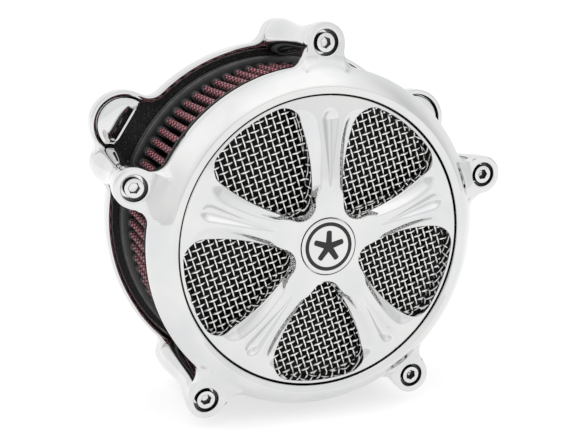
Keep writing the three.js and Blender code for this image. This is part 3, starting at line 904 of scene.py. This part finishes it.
# %% [markdown]
# ## Woven screen
# Behind the windows is a square-woven wire cloth. Each wire is crimped, so that it goes over one
# crossing wire and under the next. An image or a bump would give no dark gaps, so every wire is a
# real tube: a narrow sheet of quads rolled round a wavy line, and cut off at the edge of the disc.
# %% Weave the wires
WIRE_PITCH = 3.45
WIRE_RADIUS = 0.5
WEAVE_TURN = 18.5
STEPS_PER_CRIMP = 5
WIRE_SIDES = 6
SCREEN_MIDDLE = (front("wire_screen") + back("wire_screen")) / 2
SCREEN_RADIUS = half_width("wire_screen") - 0.2
CRIMPS = (0.68, 0.36)                       # how far each family swings in and out


def weave_wire(bm, number, family):
    """One wire of the cloth, at its place in the warp or the weft."""
    offset = (number + 0.5) * WIRE_PITCH
    reach = math.sqrt(SCREEN_RADIUS ** 2 - offset ** 2)
    steps = max(2, round(2 * reach / WIRE_PITCH * STEPS_PER_CRIMP))
    turn = WEAVE_TURN + 90 * family

    def place(i, j):
        along = -reach + 2 * reach * i / steps
        swing = math.cos(math.pi * (along / WIRE_PITCH - 0.5 + number)) * CRIMPS[family]
        a = TAU * j / WIRE_SIDES
        across = offset + WIRE_RADIUS * math.cos(a)
        point = Matrix.Rotation(math.radians(turn), 2) @ Vector((along, across))
        return raised(point, SCREEN_MIDDLE + swing + WIRE_RADIUS * math.sin(a))

    corners = sheet(bm, steps, WIRE_SIDES, place)
    bmesh.ops.remove_doubles(bm, verts=corners, dist=0.01)


screen_bm = bmesh.new()
WIRES = int(SCREEN_RADIUS / WIRE_PITCH)
for family in (0, 1):
    for number in range(-WIRES, WIRES):
        weave_wire(screen_bm, number, family)
wire_ends = [e for e in screen_bm.edges if e.is_boundary]
bmesh.ops.edgeloop_fill(screen_bm, edges=wire_ends)
make_piece("woven_screen", screen_bm, "cover", [wire], ["wire_screen"])


# %% [markdown]
# ## Centre cap
# The cap is a turned disc with a stud behind it. Its face has a groove round it, an enamelled
# ring and a plain five-armed propeller, both laid in level with the metal.
# %% Turn the cap and lay in its enamel
CAP_RADIUS = half_width("centre_cap")
CAP_FACE = front("centre_cap")
CAP_BACK = -84.8
STUD_END = back("centre_cap")               # only the stud reaches this far back
INLAY = (10.4, 12.3)
INLAY_DEPTH = 0.8
ENAMEL_SINK = 0.06
cap_bm = bmesh.new()
spun(cap_bm, [(0, CAP_FACE), (INLAY[0], CAP_FACE), (INLAY[0], CAP_FACE + INLAY_DEPTH),
              (INLAY[1], CAP_FACE + INLAY_DEPTH), (INLAY[1], CAP_FACE), (CAP_RADIUS - 0.5, CAP_FACE),
              (CAP_RADIUS - 0.15, CAP_FACE + 0.12), (CAP_RADIUS, CAP_FACE + 0.5), (CAP_RADIUS, CAP_BACK),
              (3, CAP_BACK), (3, STUD_END), (0, STUD_END)], closed=False)
cap = make_piece("hub_cap", cap_bm, "cover", [chrome], ["centre_cap"])

ring_bm = bmesh.new()
spun(ring_bm, [(INLAY[0] + 0.02, CAP_FACE + ENAMEL_SINK), (INLAY[1] - 0.02, CAP_FACE + ENAMEL_SINK),
               (INLAY[1] - 0.02, CAP_FACE + INLAY_DEPTH), (INLAY[0] + 0.02, CAP_FACE + INLAY_DEPTH)])
make_piece("enamel_ring", ring_bm, "cover", [enamel], ["cap_ring_inlay"])


# %% Cut and fill the propeller
def propeller(bm, grow, y0, y1):
    """A plain five-armed propeller with round-ended arms, as a closed solid between two levels."""
    outline = []
    for k in range(5):
        turn = 90 + 72 * k
        outline += [flat(7.7 + grow, turn - 10), flat(8.1 + grow, turn - 4), flat(8.1 + grow, turn + 4),
                    flat(7.7 + grow, turn + 10), flat(2.7 + grow, turn + 36)]
    corners = [bm.verts.new(raised(p, y0)) for p in outline]
    face = bm.faces.new(corners)
    grown = bmesh.ops.extrude_face_region(bm, geom=[face], use_keep_orig=True)
    for corner in (v for v in grown["geom"] if isinstance(v, bmesh.types.BMVert)):
        corner.co.y = y1


pocket = bmesh.new()
propeller(pocket, 0.02, CAP_FACE - 1, CAP_FACE + INLAY_DEPTH)
cut_away(cap, pocket)
arms = bmesh.new()
propeller(arms, 0, CAP_FACE + ENAMEL_SINK, CAP_FACE + INLAY_DEPTH - 0.02)
make_piece("enamel_propeller", arms, "cover", [enamel], ["cap_propeller_inlay"])


# %% [markdown]
# ## Backplate
# The backplate is a shallow chrome pan with the same five ears and a lobe on each side for the
# engine's breathers. Its cross-section is swept round the outline, from the outer wall over the
# narrow rim and down to the floor, through the throttle bore and back along the rear face.
# %% The pan's two outlines
PLATE_RADIUS = -box_mm("backplate")[0].z
LOBE_CIRCLE, LOBE_RADIUS = 99.1, 18.2
left_lobe, right_lobe = LOBE_ANGLES
RIM_WALL = 2.6
FLOOR = -5.7
PLATE_BACK = -1.5


def lobe(angle):
    return flat(LOBE_CIRCLE, angle), LOBE_RADIUS


plain_rim = rim(PLATE_RADIUS)
plate_circles = [plain_rim, ear(90), plain_rim, lobe(left_lobe), ear(162), plain_rim,
                 ear(234), plain_rim, ear(306), plain_rim, ear(18), lobe(right_lobe)]
pan_circles = [plain_rim, lobe(left_lobe), plain_rim, lobe(right_lobe)]
plate_outline = lobed_outline(plate_circles, EAR_FILLET, OUTLINE_STEP)
plate_normals = normals_of(plate_outline)
pan_outline = lobed_outline(pan_circles, EAR_FILLET, OUTLINE_STEP / 2, inset=RIM_WALL)
pan_turns = [math.degrees(heading(AXIS, p)) % 360 for p in pan_outline]


def pan_radius(degrees):
    """How far the inner outline lies from the axis in a direction."""
    nearest = sorted(range(len(pan_turns)),
                     key=lambda k: abs((pan_turns[k] - degrees + 180) % 360 - 180))[:2]
    a, b = (pan_outline[k] for k in nearest)
    line, ray = b - a, flat(1, degrees)
    crossing = line.x * ray.y - line.y * ray.x
    return (a.y * line.x - a.x * line.y) / crossing if abs(crossing) > 1e-9 else a.length


plate_turns = [math.degrees(heading(AXIS, p)) % 360 for p in plate_outline]
pan_radii = [pan_radius(turn) for turn in plate_turns]
print(f"pan outline: {len(plate_outline)} columns, radius {min(pan_radii):.1f} to {max(pan_radii):.1f} mm")


# %% Sweep the pan's section
BORE, BOSS, SEAL_GROOVE = 26.0, 43.0, (27.4, 30.6)
GROOVE_FLOOR = -1.6
FLOOR_ROUND = 1.6
outer_wall = [(0.9, PLATE_BACK), (0.25, PLATE_BACK - 0.25), (0, PLATE_BACK - 0.9), (0, PLATE_BACK - 1.4),
              (0, RIM_FRONT + 1.3), (0, RIM_FRONT + 0.8), (0.22, RIM_FRONT + 0.22), (0.8, RIM_FRONT)]
inner_wall = [(0.6, RIM_FRONT), (0.17, RIM_FRONT + 0.17), (0, RIM_FRONT + 0.6), (0, FLOOR - FLOOR_ROUND)]
inner_wall += [(-FLOOR_ROUND * (1 - math.cos(a)), FLOOR - FLOOR_ROUND * (1 - math.sin(a)))
               for a in (math.radians(d) for d in (20, 45, 70, 90))]
round_rows = [(r, FLOOR) for r in (80, 60, 42, BORE + 0.3)]
round_rows += [(BORE, FLOOR + 0.3), (BORE, -0.3), (BORE + 0.3, 0), (SEAL_GROOVE[0], 0),
               (SEAL_GROOVE[0], GROOVE_FLOOR), (SEAL_GROOVE[1], GROOVE_FLOOR), (SEAL_GROOVE[1], 0),
               (BOSS - 0.4, 0), (BOSS, -0.4), (BOSS, PLATE_BACK), (70, PLATE_BACK)]
# each row says what its size is measured from: the outer edge, the pan's edge, or the axis
pan_rows = [(kind, *row) for kind, rows in (("out", outer_wall), ("pan", inner_wall),
                                            ("axis", round_rows)) for row in rows]


def pan_place(i, j):
    k = i % len(plate_outline)
    kind, size, y = pan_rows[j % len(pan_rows)]
    if kind == "out":
        return raised(plate_outline[k] - plate_normals[k] * size, y)
    radius = pan_radii[k] + size if kind == "pan" else size
    return raised(flat(radius, plate_turns[k]), y)


def is_inside(point):
    """Whether a point of a wall belongs to the pan's inside."""
    turn = math.degrees(math.atan2(point.z, point.x))
    return math.hypot(point.x, point.z) < pan_radius(turn) + 0.5


pan_bm = bmesh.new()
sheet(pan_bm, len(plate_outline), len(pan_rows), pan_place)
pan_bm.normal_update()
# painted shade: the pan's inner walls and floor take the speckled black finish instead of chrome
for face in pan_bm.faces:
    middle = face.calc_center_median()
    wall = RIM_FRONT + 0.9 < middle.y < FLOOR - FLOOR_ROUND and abs(face.normal.y) < 0.5
    face.material_index = int((wall and is_inside(middle)) or abs(middle.y - FLOOR) < 0.01)
pan = make_piece("backplate_pan", pan_bm, "backplate_unit", [chrome, casting],
                 ["backplate"])


# %% Drill the pan
CLAMP_CIRCLE, CLAMP_ANGLES, CLAMP_HOLE = 35, (90, 210, 330), 3.2
STUD_CIRCLE, STUD_CLEARANCE = 104.6, 4.7
hole_list = [(flat(SCREW_CIRCLE, a), SCREW_HOLE) for a in EAR_ANGLES]
hole_list += [(flat(CLAMP_CIRCLE, a), CLAMP_HOLE) for a in CLAMP_ANGLES]
hole_list += [(flat(STUD_CIRCLE, a), STUD_CLEARANCE) for a in LOBE_ANGLES]
holes = bmesh.new()
for at, radius in hole_list:
    spun(holes, [(0, -20), (radius, -20), (radius, 5), (0, 5)], steps=32, at=at, closed=False)
cut_away(pan, holes)
print(f"pan after drilling {len(hole_list)} holes: {len(pan.data.polygons)} faces")


# %% [markdown]
# ## Breather hoods
# In each lobe a D-shaped chrome block turns the engine's breath through a slot towards the
# element. Its edge is swept like the pan's: up the outside, over a rounded edge, across the top
# and down into the slot.
# %% Outlines with rounded corners
HOOD_RADIUS, HOOD_CHORD = 14.6, 98.0
SLOT_START, SLOT_WIDTH, SLOT_LENGTH = 98.9, 3.2, 18.0
HOOD_COUNT = 96


def rounded(corners, radius):
    """A closed outline with its sharp corners rounded."""
    points = []
    for k, corner in enumerate(corners):
        before, after = corners[k - 1] - corner, corners[(k + 1) % len(corners)] - corner
        turn = math.pi - before.angle(after)
        if turn < math.radians(25):
            points.append(corner)
            continue
        reach = radius * math.tan(turn / 2)
        start, end = corner + before.normalized() * reach, corner + after.normalized() * reach
        points += [start.lerp(corner, k / 5).lerp(corner.lerp(end, k / 5), k / 5) for k in range(6)]
    return points


def even_points(corners, count, radius):
    """Points spaced evenly round a closed outline, after rounding its corners."""
    loop = rounded(corners, radius)
    shares = lengths_along(loop)
    found, k = [], 0
    for n in range(count):
        while k + 1 < len(shares) and shares[k + 1] <= n / count:
            k += 1
        end = shares[k + 1] if k + 1 < len(shares) else 1
        share = (n / count - shares[k]) / max(end - shares[k], 1e-9)
        found.append(loop[k].lerp(loop[(k + 1) % len(loop)], share))
    return found


print(f"each hood has {HOOD_COUNT} columns")


# %% Build the two hoods
def slot_side(point, angle):
    """Whether a point lies on the slot's walls, which take the speckled black finish as painted shade."""
    local = Matrix.Rotation(math.radians(-angle), 2) @ Vector((point.x, point.z))
    return (SLOT_START - 0.3 < local.x < SLOT_START + SLOT_WIDTH + 0.3
            and abs(local.y) < SLOT_LENGTH / 2 + 0.3)


def hood(name, node, angle, ear_angle):
    """A D-shaped block with a slot, at a lobe's angle and clear of the ear beside it."""
    half = math.acos((HOOD_CHORD - LOBE_CIRCLE) / HOOD_RADIUS)
    middle = Vector((LOBE_CIRCLE, 0))
    dee = arc(middle, HOOD_RADIUS, 0, half, 1.0) + arc(middle, HOOD_RADIUS, -half, 0, 1.0)
    dee.insert(len(dee) // 2, middle + flat(HOOD_RADIUS, math.degrees(half)))
    outer = even_points(dee, HOOD_COUNT, 0.8)
    boss = flat(SCREW_CIRCLE, ear_angle - angle)
    outer = [boss + (p - boss).normalized() * max((p - boss).length, EAR_RADIUS + 0.9)
             for p in outer]
    near, far, end = SLOT_START, SLOT_START + SLOT_WIDTH, SLOT_LENGTH / 2
    hole = [Vector(p) for p in ((far, 0), (far, end), (near, end), (near, 0), (near, -end), (far, -end))]
    inner = even_points(hole, HOOD_COUNT, 0.5)
    low, high = box_mm(node)
    top, bottom = low.y, high.y
    # each row is its share of the way from the D to the slot, how far it lies inside, and its Y
    rows = [(0, 0, bottom), (0, 0, top + 1.6), (0, 0, top + 1.2), (0, 0.18, top + 0.66),
            (0, 0.6, top + 0.4), (0, 1.4, top + 0.2), (0.5, 0, top), (1, 0.5, top),
            (1, 0.35, top + 0.02), (1, 0.08, top + 0.12), (1, 0, top + 0.4), (1, 0, bottom)]
    out, into = normals_of(outer), normals_of(inner)
    turn = Matrix.Rotation(math.radians(angle), 2)

    def place(i, j):
        k = i % HOOD_COUNT
        share, inset, y = rows[j % len(rows)]
        side = out[k] * -inset if share == 0 else into[k] * inset
        return raised(turn @ (outer[k].lerp(inner[k], share) + side), y)

    bm = bmesh.new()
    sheet(bm, HOOD_COUNT, len(rows), place)
    # painted shade: the slot's walls take the speckled black finish
    for face in bm.faces:
        centre = face.calc_center_median()
        face.material_index = int(centre.y > top + 0.5 and slot_side(centre, angle))
    make_piece(name, bm, "backplate_unit", [chrome, casting], [node])


hood("breather_block_left", "breather_hood_left", left_lobe, 162)
hood("breather_block_right", "breather_hood_right", right_lobe, 18)


# %% [markdown]
# ## Filter element
# Eighty deep pleats of oiled cotton gauze stand between two moulded ends. The pleats are one
# band folded to and fro, so they are a swept section again, with a UV that measures millimetres
# along the band for the gauze pattern.
# %% Fold the pleats
PLEATS = 80
PITCH = 360 / PLEATS
TIP_RADIUS = half_width("pleated_media")
TIP_HALF, ROOT_HALF = 1.75, 1.25            # half of a fold's thickness, and of the gap at its root
ROOT_RADIUS = 71.6
MEDIA_BORE, END_BORE = 69.0, 68.0
MEDIA_FRONT, MEDIA_BACK = front("pleated_media"), back("pleated_media")


def fold():
    """One pleat's outside as (radius, turn in degrees), from root to root."""
    tip_middle = TIP_RADIUS - TIP_HALF
    points = [Vector((ROOT_RADIUS, -math.radians(PITCH / 2) * ROOT_RADIUS))]
    for k in range(1, 3):
        a = math.pi / 2 * k / 2
        points.append(Vector((ROOT_RADIUS + ROOT_HALF * (1 - math.cos(a)),
                              -math.radians(PITCH / 2) * ROOT_RADIUS + ROOT_HALF * math.sin(a))))
    points += [Vector((tip_middle + TIP_HALF * math.cos(a), TIP_HALF * math.sin(a)))
               for a in (math.radians(d) for d in range(-90, 91, 30))]
    points += [Vector((p.x, -p.y)) for p in reversed(points[1:3])]
    return [(math.hypot(*p), math.degrees(math.atan2(p.y, p.x))) for p in points]


fold_points = fold()
band = [flat(r, PITCH * k + turn) for k in range(PLEATS) for r, turn in fold_points]
media_rows = [(False, MEDIA_FRONT), (True, MEDIA_FRONT), (True, (MEDIA_FRONT + MEDIA_BACK) / 2),
              (True, MEDIA_BACK), (False, MEDIA_BACK)]


def band_place(i, j):
    point = band[i % len(band)]
    folded, y = media_rows[j % len(media_rows)]
    return raised(point.normalized() * (point.length if folded else MEDIA_BORE), y)


media_bm = bmesh.new()
sheet(media_bm, len(band), len(media_rows), band_place)
bmesh.ops.remove_doubles(media_bm, verts=media_bm.verts, dist=0.002)
print(f"pleats: {len(band)} points round the band")


# %% Give the gauze its millimetres
band_shares = lengths_along(band)
band_length = sum((b - a).length for a, b in zip(band, band[1:] + band[:1]))
reach_of = {(round(p.x, 2), round(p.y, 2)): share * band_length
            for p, share in zip(band, band_shares)}
uv = media_bm.loops.layers.uv.new("millimetres")
for face in media_bm.faces:
    across = [reach_of.get((round(loop.vert.co.x, 2), round(loop.vert.co.z, 2)), 0)
              for loop in face.loops]
    wraps = max(across) - min(across) > band_length / 2
    for loop, reach in zip(face.loops, across):
        loop[uv].uv = (reach + band_length * (wraps and reach < 1), loop.vert.co.y)
make_piece("gauze_pleats", media_bm, "element", [gauze], ["pleated_media"])


# %% [markdown]
# ### The element's ends
# The pleats' ends are cast into rubber. At the back it is a grey ring with a step round it, and
# its potting creeps up every fold, so a thin sleeve with a dark lip follows the band of pleats.
# %% Mould the rear ring
def end_profile(node, inner, round_mm, step=0.0):
    """A moulded end: a flat ring with rounded outer edges and an optional step in its side."""
    low, high = box_mm(node)
    outer = half_width(node)
    arcs = [math.radians(d) for d in (0, 30, 60, 90)]
    fore = [(outer - round_mm * (1 - math.sin(a)), low.y + round_mm * (1 - math.cos(a)))
            for a in arcs]
    aft = [(outer - round_mm * (1 - math.cos(a)), high.y - round_mm * (1 - math.sin(a)))
           for a in arcs]
    side = []
    if step:
        middle = low.y + 3.0
        side = [(outer, middle - 0.3), (outer - step, middle), (outer - step, middle + 0.7),
                (outer, middle + 1.0)]
    return [(inner, low.y)] + fore + side + aft + [(inner, high.y)]


rear_bm = bmesh.new()
spun(rear_bm, end_profile("rear_end_ring", END_BORE, 0.9, step=0.5), steps=160)
SLEEVE_SHORT, SLEEVE_LONG, SLEEVE_THICK = 3.4, 8.5, 0.8
band_normals = normals_of(band)


def sleeve_place(i, j):
    """The moulding creeps up each fold: least at its tip and most down in the valleys."""
    k = i % len(band)
    share = (TIP_RADIUS - band[k].length) / (TIP_RADIUS - ROOT_RADIUS)
    edge = MEDIA_BACK - SLEEVE_SHORT - (SLEEVE_LONG - SLEEVE_SHORT) * min(1, 1.6 * share)
    foot = MEDIA_BACK + 0.2
    thick, y = [(None, foot), (1, foot), (1, edge + 0.4), (0.8, edge + 0.1), (0.45, edge),
                (None, edge)][j % 6]
    if thick is None:
        return raised(band[k].normalized() * MEDIA_BORE, y)
    return raised(band[k] + band_normals[k] * SLEEVE_THICK * thick, y)


faces_before = len(rear_bm.faces)
sheet(rear_bm, len(band), 6, sleeve_place)
rear_bm.faces.ensure_lookup_table()
for face in rear_bm.faces[faces_before:]:
    face.material_index = 1
make_piece("moulded_rear_ring", rear_bm, "element", [polyurethane, potting],
           ["rear_end_ring"])


# %% Mould the front cap and press the top plate
front_bm = bmesh.new()
spun(front_bm, end_profile("front_end_cap", END_BORE, 0.7), steps=160)
make_piece("moulded_front_cap", front_bm, "element", [nitrile], ["front_end_cap"])

top_bm = bmesh.new()
low, high = box_mm("element_top_plate")
edge = half_width("element_top_plate")
spun(top_bm, [(0, low.y + 0.5), (30, low.y + 0.5), (34, low.y), (edge - 0.4, low.y),
              (edge, low.y + 0.4), (edge, high.y), (0, high.y)], closed=False)
make_piece("pressed_top_plate", top_bm, "element", [oxide], ["element_top_plate"])


# %% [markdown]
# ## Intake stack, studs, seals and the small screws
# These turned and moulded pieces are seen from behind or when the cover is off. Each is turned
# about its axis, and the seals and studs have every sharp edge bevelled, which is what a lathe and a
# deburring tool would leave.
# %% Turn the intake stack
stack_front, foot = front("velocity_stack"), back("velocity_stack")
bell = [(BORE + 7.5 * share ** 2.2, foot - 12 - (-stack_front - 12 + foot) * share)
        for share in (k / 8 for k in range(9))]
lip = [(34.4, stack_front + 0.1), (35, stack_front + 0.9), (34.6, stack_front + 1.7)]
outside = [(30.2, -22), (28.6, -17), (28.6, -8.5), (40, -8.5), (40, foot)]
stack_bm = bmesh.new()
spun(stack_bm, [(BORE, foot)] + bell + lip + outside)
stack = make_piece("intake_stack", stack_bm, "backplate_unit", [zinc],
                   ["velocity_stack"])
stack_holes = bmesh.new()
for angle in CLAMP_ANGLES:
    spun(stack_holes, [(0, -12), (CLAMP_HOLE, -12), (CLAMP_HOLE, 0), (0, 0)], steps=32,
         at=flat(CLAMP_CIRCLE, angle), closed=False)
cut_away(stack, stack_holes)


# %% Mould the round seal
def turned_piece(name, node, profile, material, at=AXIS, steps=64, edge=0.25):
    """A profile spun about its axis, with every sharp edge broken."""
    bm = bmesh.new()
    spun(bm, profile, steps=steps, at=at)
    bevel_sharp(bm, edge)
    make_piece(name, bm, "backplate_unit", [material], [node])


low, high = box_mm("throttle_seal")
turned_piece("round_seal", "throttle_seal",
             [(27.7, low.y), (30.3, low.y), (30.3, high.y), (27.7, high.y)],
             nitrile, edge=0.6)


# %% Turn the clamp screws
for number, angle in enumerate(CLAMP_ANGLES, 1):
    bm = bmesh.new()
    socket_screw(bm, f"throttle_screw_{number}", 4.8, 5.0, 2.9, flat(CLAMP_CIRCLE, angle), 10 * number)
    make_piece(f"clamp_screw_{number}", bm, "backplate_unit", [zinc, oxide],
               [f"throttle_screw_{number}"])


# %% Turn the studs and mould their seals
for side, angle in zip(("left", "right"), LOBE_ANGLES):
    at = flat(STUD_CIRCLE, angle)
    low, high = box_mm(f"breather_stud_{side}")
    turned_piece(f"hollow_stud_{side}", f"breather_stud_{side}",
                 [(2.4, low.y), (4.4, low.y), (4.4, -1.2), (7.5, -1.2), (7.5, 1.8), (4.4, 1.8),
                  (4.4, high.y), (2.4, high.y)], zinc, at=at, steps=48)
    low, high = box_mm(f"breather_seal_{side}")
    turned_piece(f"stud_seal_{side}", f"breather_seal_{side}",
                 [(4.7, low.y), (7, low.y), (7, high.y), (4.7, high.y)], nitrile,
                 at=at, steps=48, edge=0.4)


# %% Turn the retaining screws
RETAINER_CIRCLE = 67
for number, angle in enumerate(EAR_ANGLES, 1):
    bm = bmesh.new()
    socket_screw(bm, f"insert_screw_{number}", 2.5, 2.2, 1.9, flat(RETAINER_CIRCLE, angle),
                 9 * number, 0.3, facing=-1)
    make_piece(f"retaining_screw_{number}", bm, "cover", [oxide, oxide],
               [f"insert_screw_{number}"])


# %% Forge the cap's nut
NUT_CORNER = 5.0


def nut_place(i, j):
    low, high = box_mm("cap_nut")
    degrees = 360 * i / SCREW_STEPS
    reach = hex_reach(NUT_CORNER * math.cos(math.radians(30)) * 2, degrees)
    rows = [(3.3, low.y), (4.2, low.y), (reach, low.y + 0.35), (reach, high.y - 0.35), (4.2, high.y),
            (3.3, high.y)]
    r, y = rows[j % len(rows)]
    return raised(flat(r, degrees + 30), y)


nut_bm = bmesh.new()
sheet(nut_bm, SCREW_STEPS, 6, nut_place)
make_piece("hex_nut", nut_bm, "cover", [zinc], ["cap_nut"])


# %% [markdown]
# ## Light and floor
# Polished chrome shows its surroundings and nothing of its own, so it is lit inside a white tent.
# The world is that tent, with a few soft patches of light and shade, because a tent of one even
# white would make the chrome look like paint. A hard-edged lamp would draw its outline in it.
# %% The tent
TENT_STRENGTH = 1.03
# where each patch lies, how much it adds to the tent, and how many degrees it reaches
PATCHES = [((-0.8, -0.3, 0.6), 0.22, 50), ((-1.0, -0.25, 0.05), -0.22, 38),
           ((0.3, -0.4, 1.0), 0.3, 45), ((0.9, -0.3, 0.5), -0.22, 40),
           ((-0.5, -0.8, 0.35), -0.2, 28), ((0.25, -0.7, 0.6), -0.16, 25)]


def soft_patch(tree, direction, toward, strength, half_angle):
    """Adds a soft round patch of light, or of shade when the strength is negative, to the tent."""
    facing = add(tree, "ShaderNodeVectorMath", {0: direction, 1: Vector(toward).normalized()},
                 operation="DOT_PRODUCT").outputs["Value"]
    return add(tree, "ShaderNodeMapRange", {
        "Value": facing, "From Min": math.cos(math.radians(half_angle)), "From Max": 1.0,
        "To Min": 0.0, "To Max": strength}, interpolation_type="SMOOTHSTEP").outputs[0]


def studio_world():
    world = bpy.data.worlds.new("studio_tent")
    world.use_nodes = True
    tree = world.node_tree
    shader = tree.nodes["Background"]
    direction = add(tree, "ShaderNodeTexCoord").outputs["Generated"]
    folds = add(tree, "ShaderNodeTexNoise", {"Vector": direction, "Scale": 2.5})
    cloth = add(tree, "ShaderNodeValToRGB", {"Fac": folds.outputs["Fac"]},
                stops=[(0.35, "#fbfbfb"), (0.65, "#ffffff")])
    total = TENT_STRENGTH
    for toward, strength, half_angle in PATCHES:
        patch = soft_patch(tree, direction, toward, strength, half_angle)
        total = add(tree, "ShaderNodeMath", {0: total, 1: patch}, operation="ADD").outputs[0]
    fill(tree, shader, {"Color": cloth.outputs["Color"], "Strength": total})
    bpy.context.scene.world = world


studio_world()
bpy.context.scene.view_settings.view_transform = "Standard"
print(f"tent with {len(PATCHES)} soft patches")


# %% The floor of matt paper
floor_bm = bmesh.new()
bmesh.ops.create_grid(floor_bm, x_segments=1, y_segments=1, size=3)
bmesh.ops.translate(floor_bm, vec=(0, 0, cad_low.z - 0.0005), verts=floor_bm.verts)
floor_mesh = bpy.data.meshes.new("studio_floor")
floor_bm.to_mesh(floor_mesh)
floor_bm.free()
floor = bpy.data.objects.new("studio_floor", floor_mesh)
bpy.context.scene.collection.objects.link(floor)
paper, tree, shader = start_material("matt_paper")
place = add(tree, "ShaderNodeTexCoord").outputs["Object"]
cloud = add(tree, "ShaderNodeTexNoise", {"Vector": place, "Scale": 1 / (300 * MM), "Detail": 2.0})
shades = add(tree, "ShaderNodeValToRGB", {"Fac": cloud.outputs["Fac"]},
             stops=[(0.3, "#9a9a9a"), (0.7, "#9e9e9e")])
fill(tree, shader, {"Base Color": shades.outputs["Color"], "Roughness": 0.9,
                    "Emission Color": (1, 1, 1, 1), "Emission Strength": 0.7})
floor_mesh.materials.append(paper)
print("floor at", round(cad_low.z, 4), "m")


# %% The lamp above
def softbox(name, place, aim, size, radiance):
    """A square area light; its power follows from how bright its face should look."""
    lamp = bpy.data.lights.new(name, "AREA")
    lamp.size = size
    lamp.energy = radiance * math.pi * size ** 2
    made = bpy.data.objects.new(name, lamp)
    made.location = place
    made.rotation_euler = (Vector(aim) - Vector(place)).to_track_quat("-Z", "Y").to_euler()
    made.visible_glossy = False            # its hard edge would show in the chrome
    bpy.context.scene.collection.objects.link(made)


softbox("top_softbox", (-0.3, -0.6, 1.1), (0, 0, 0), 0.9, 1.5)
print("lamps:", [lamp.name for lamp in bpy.data.lights])
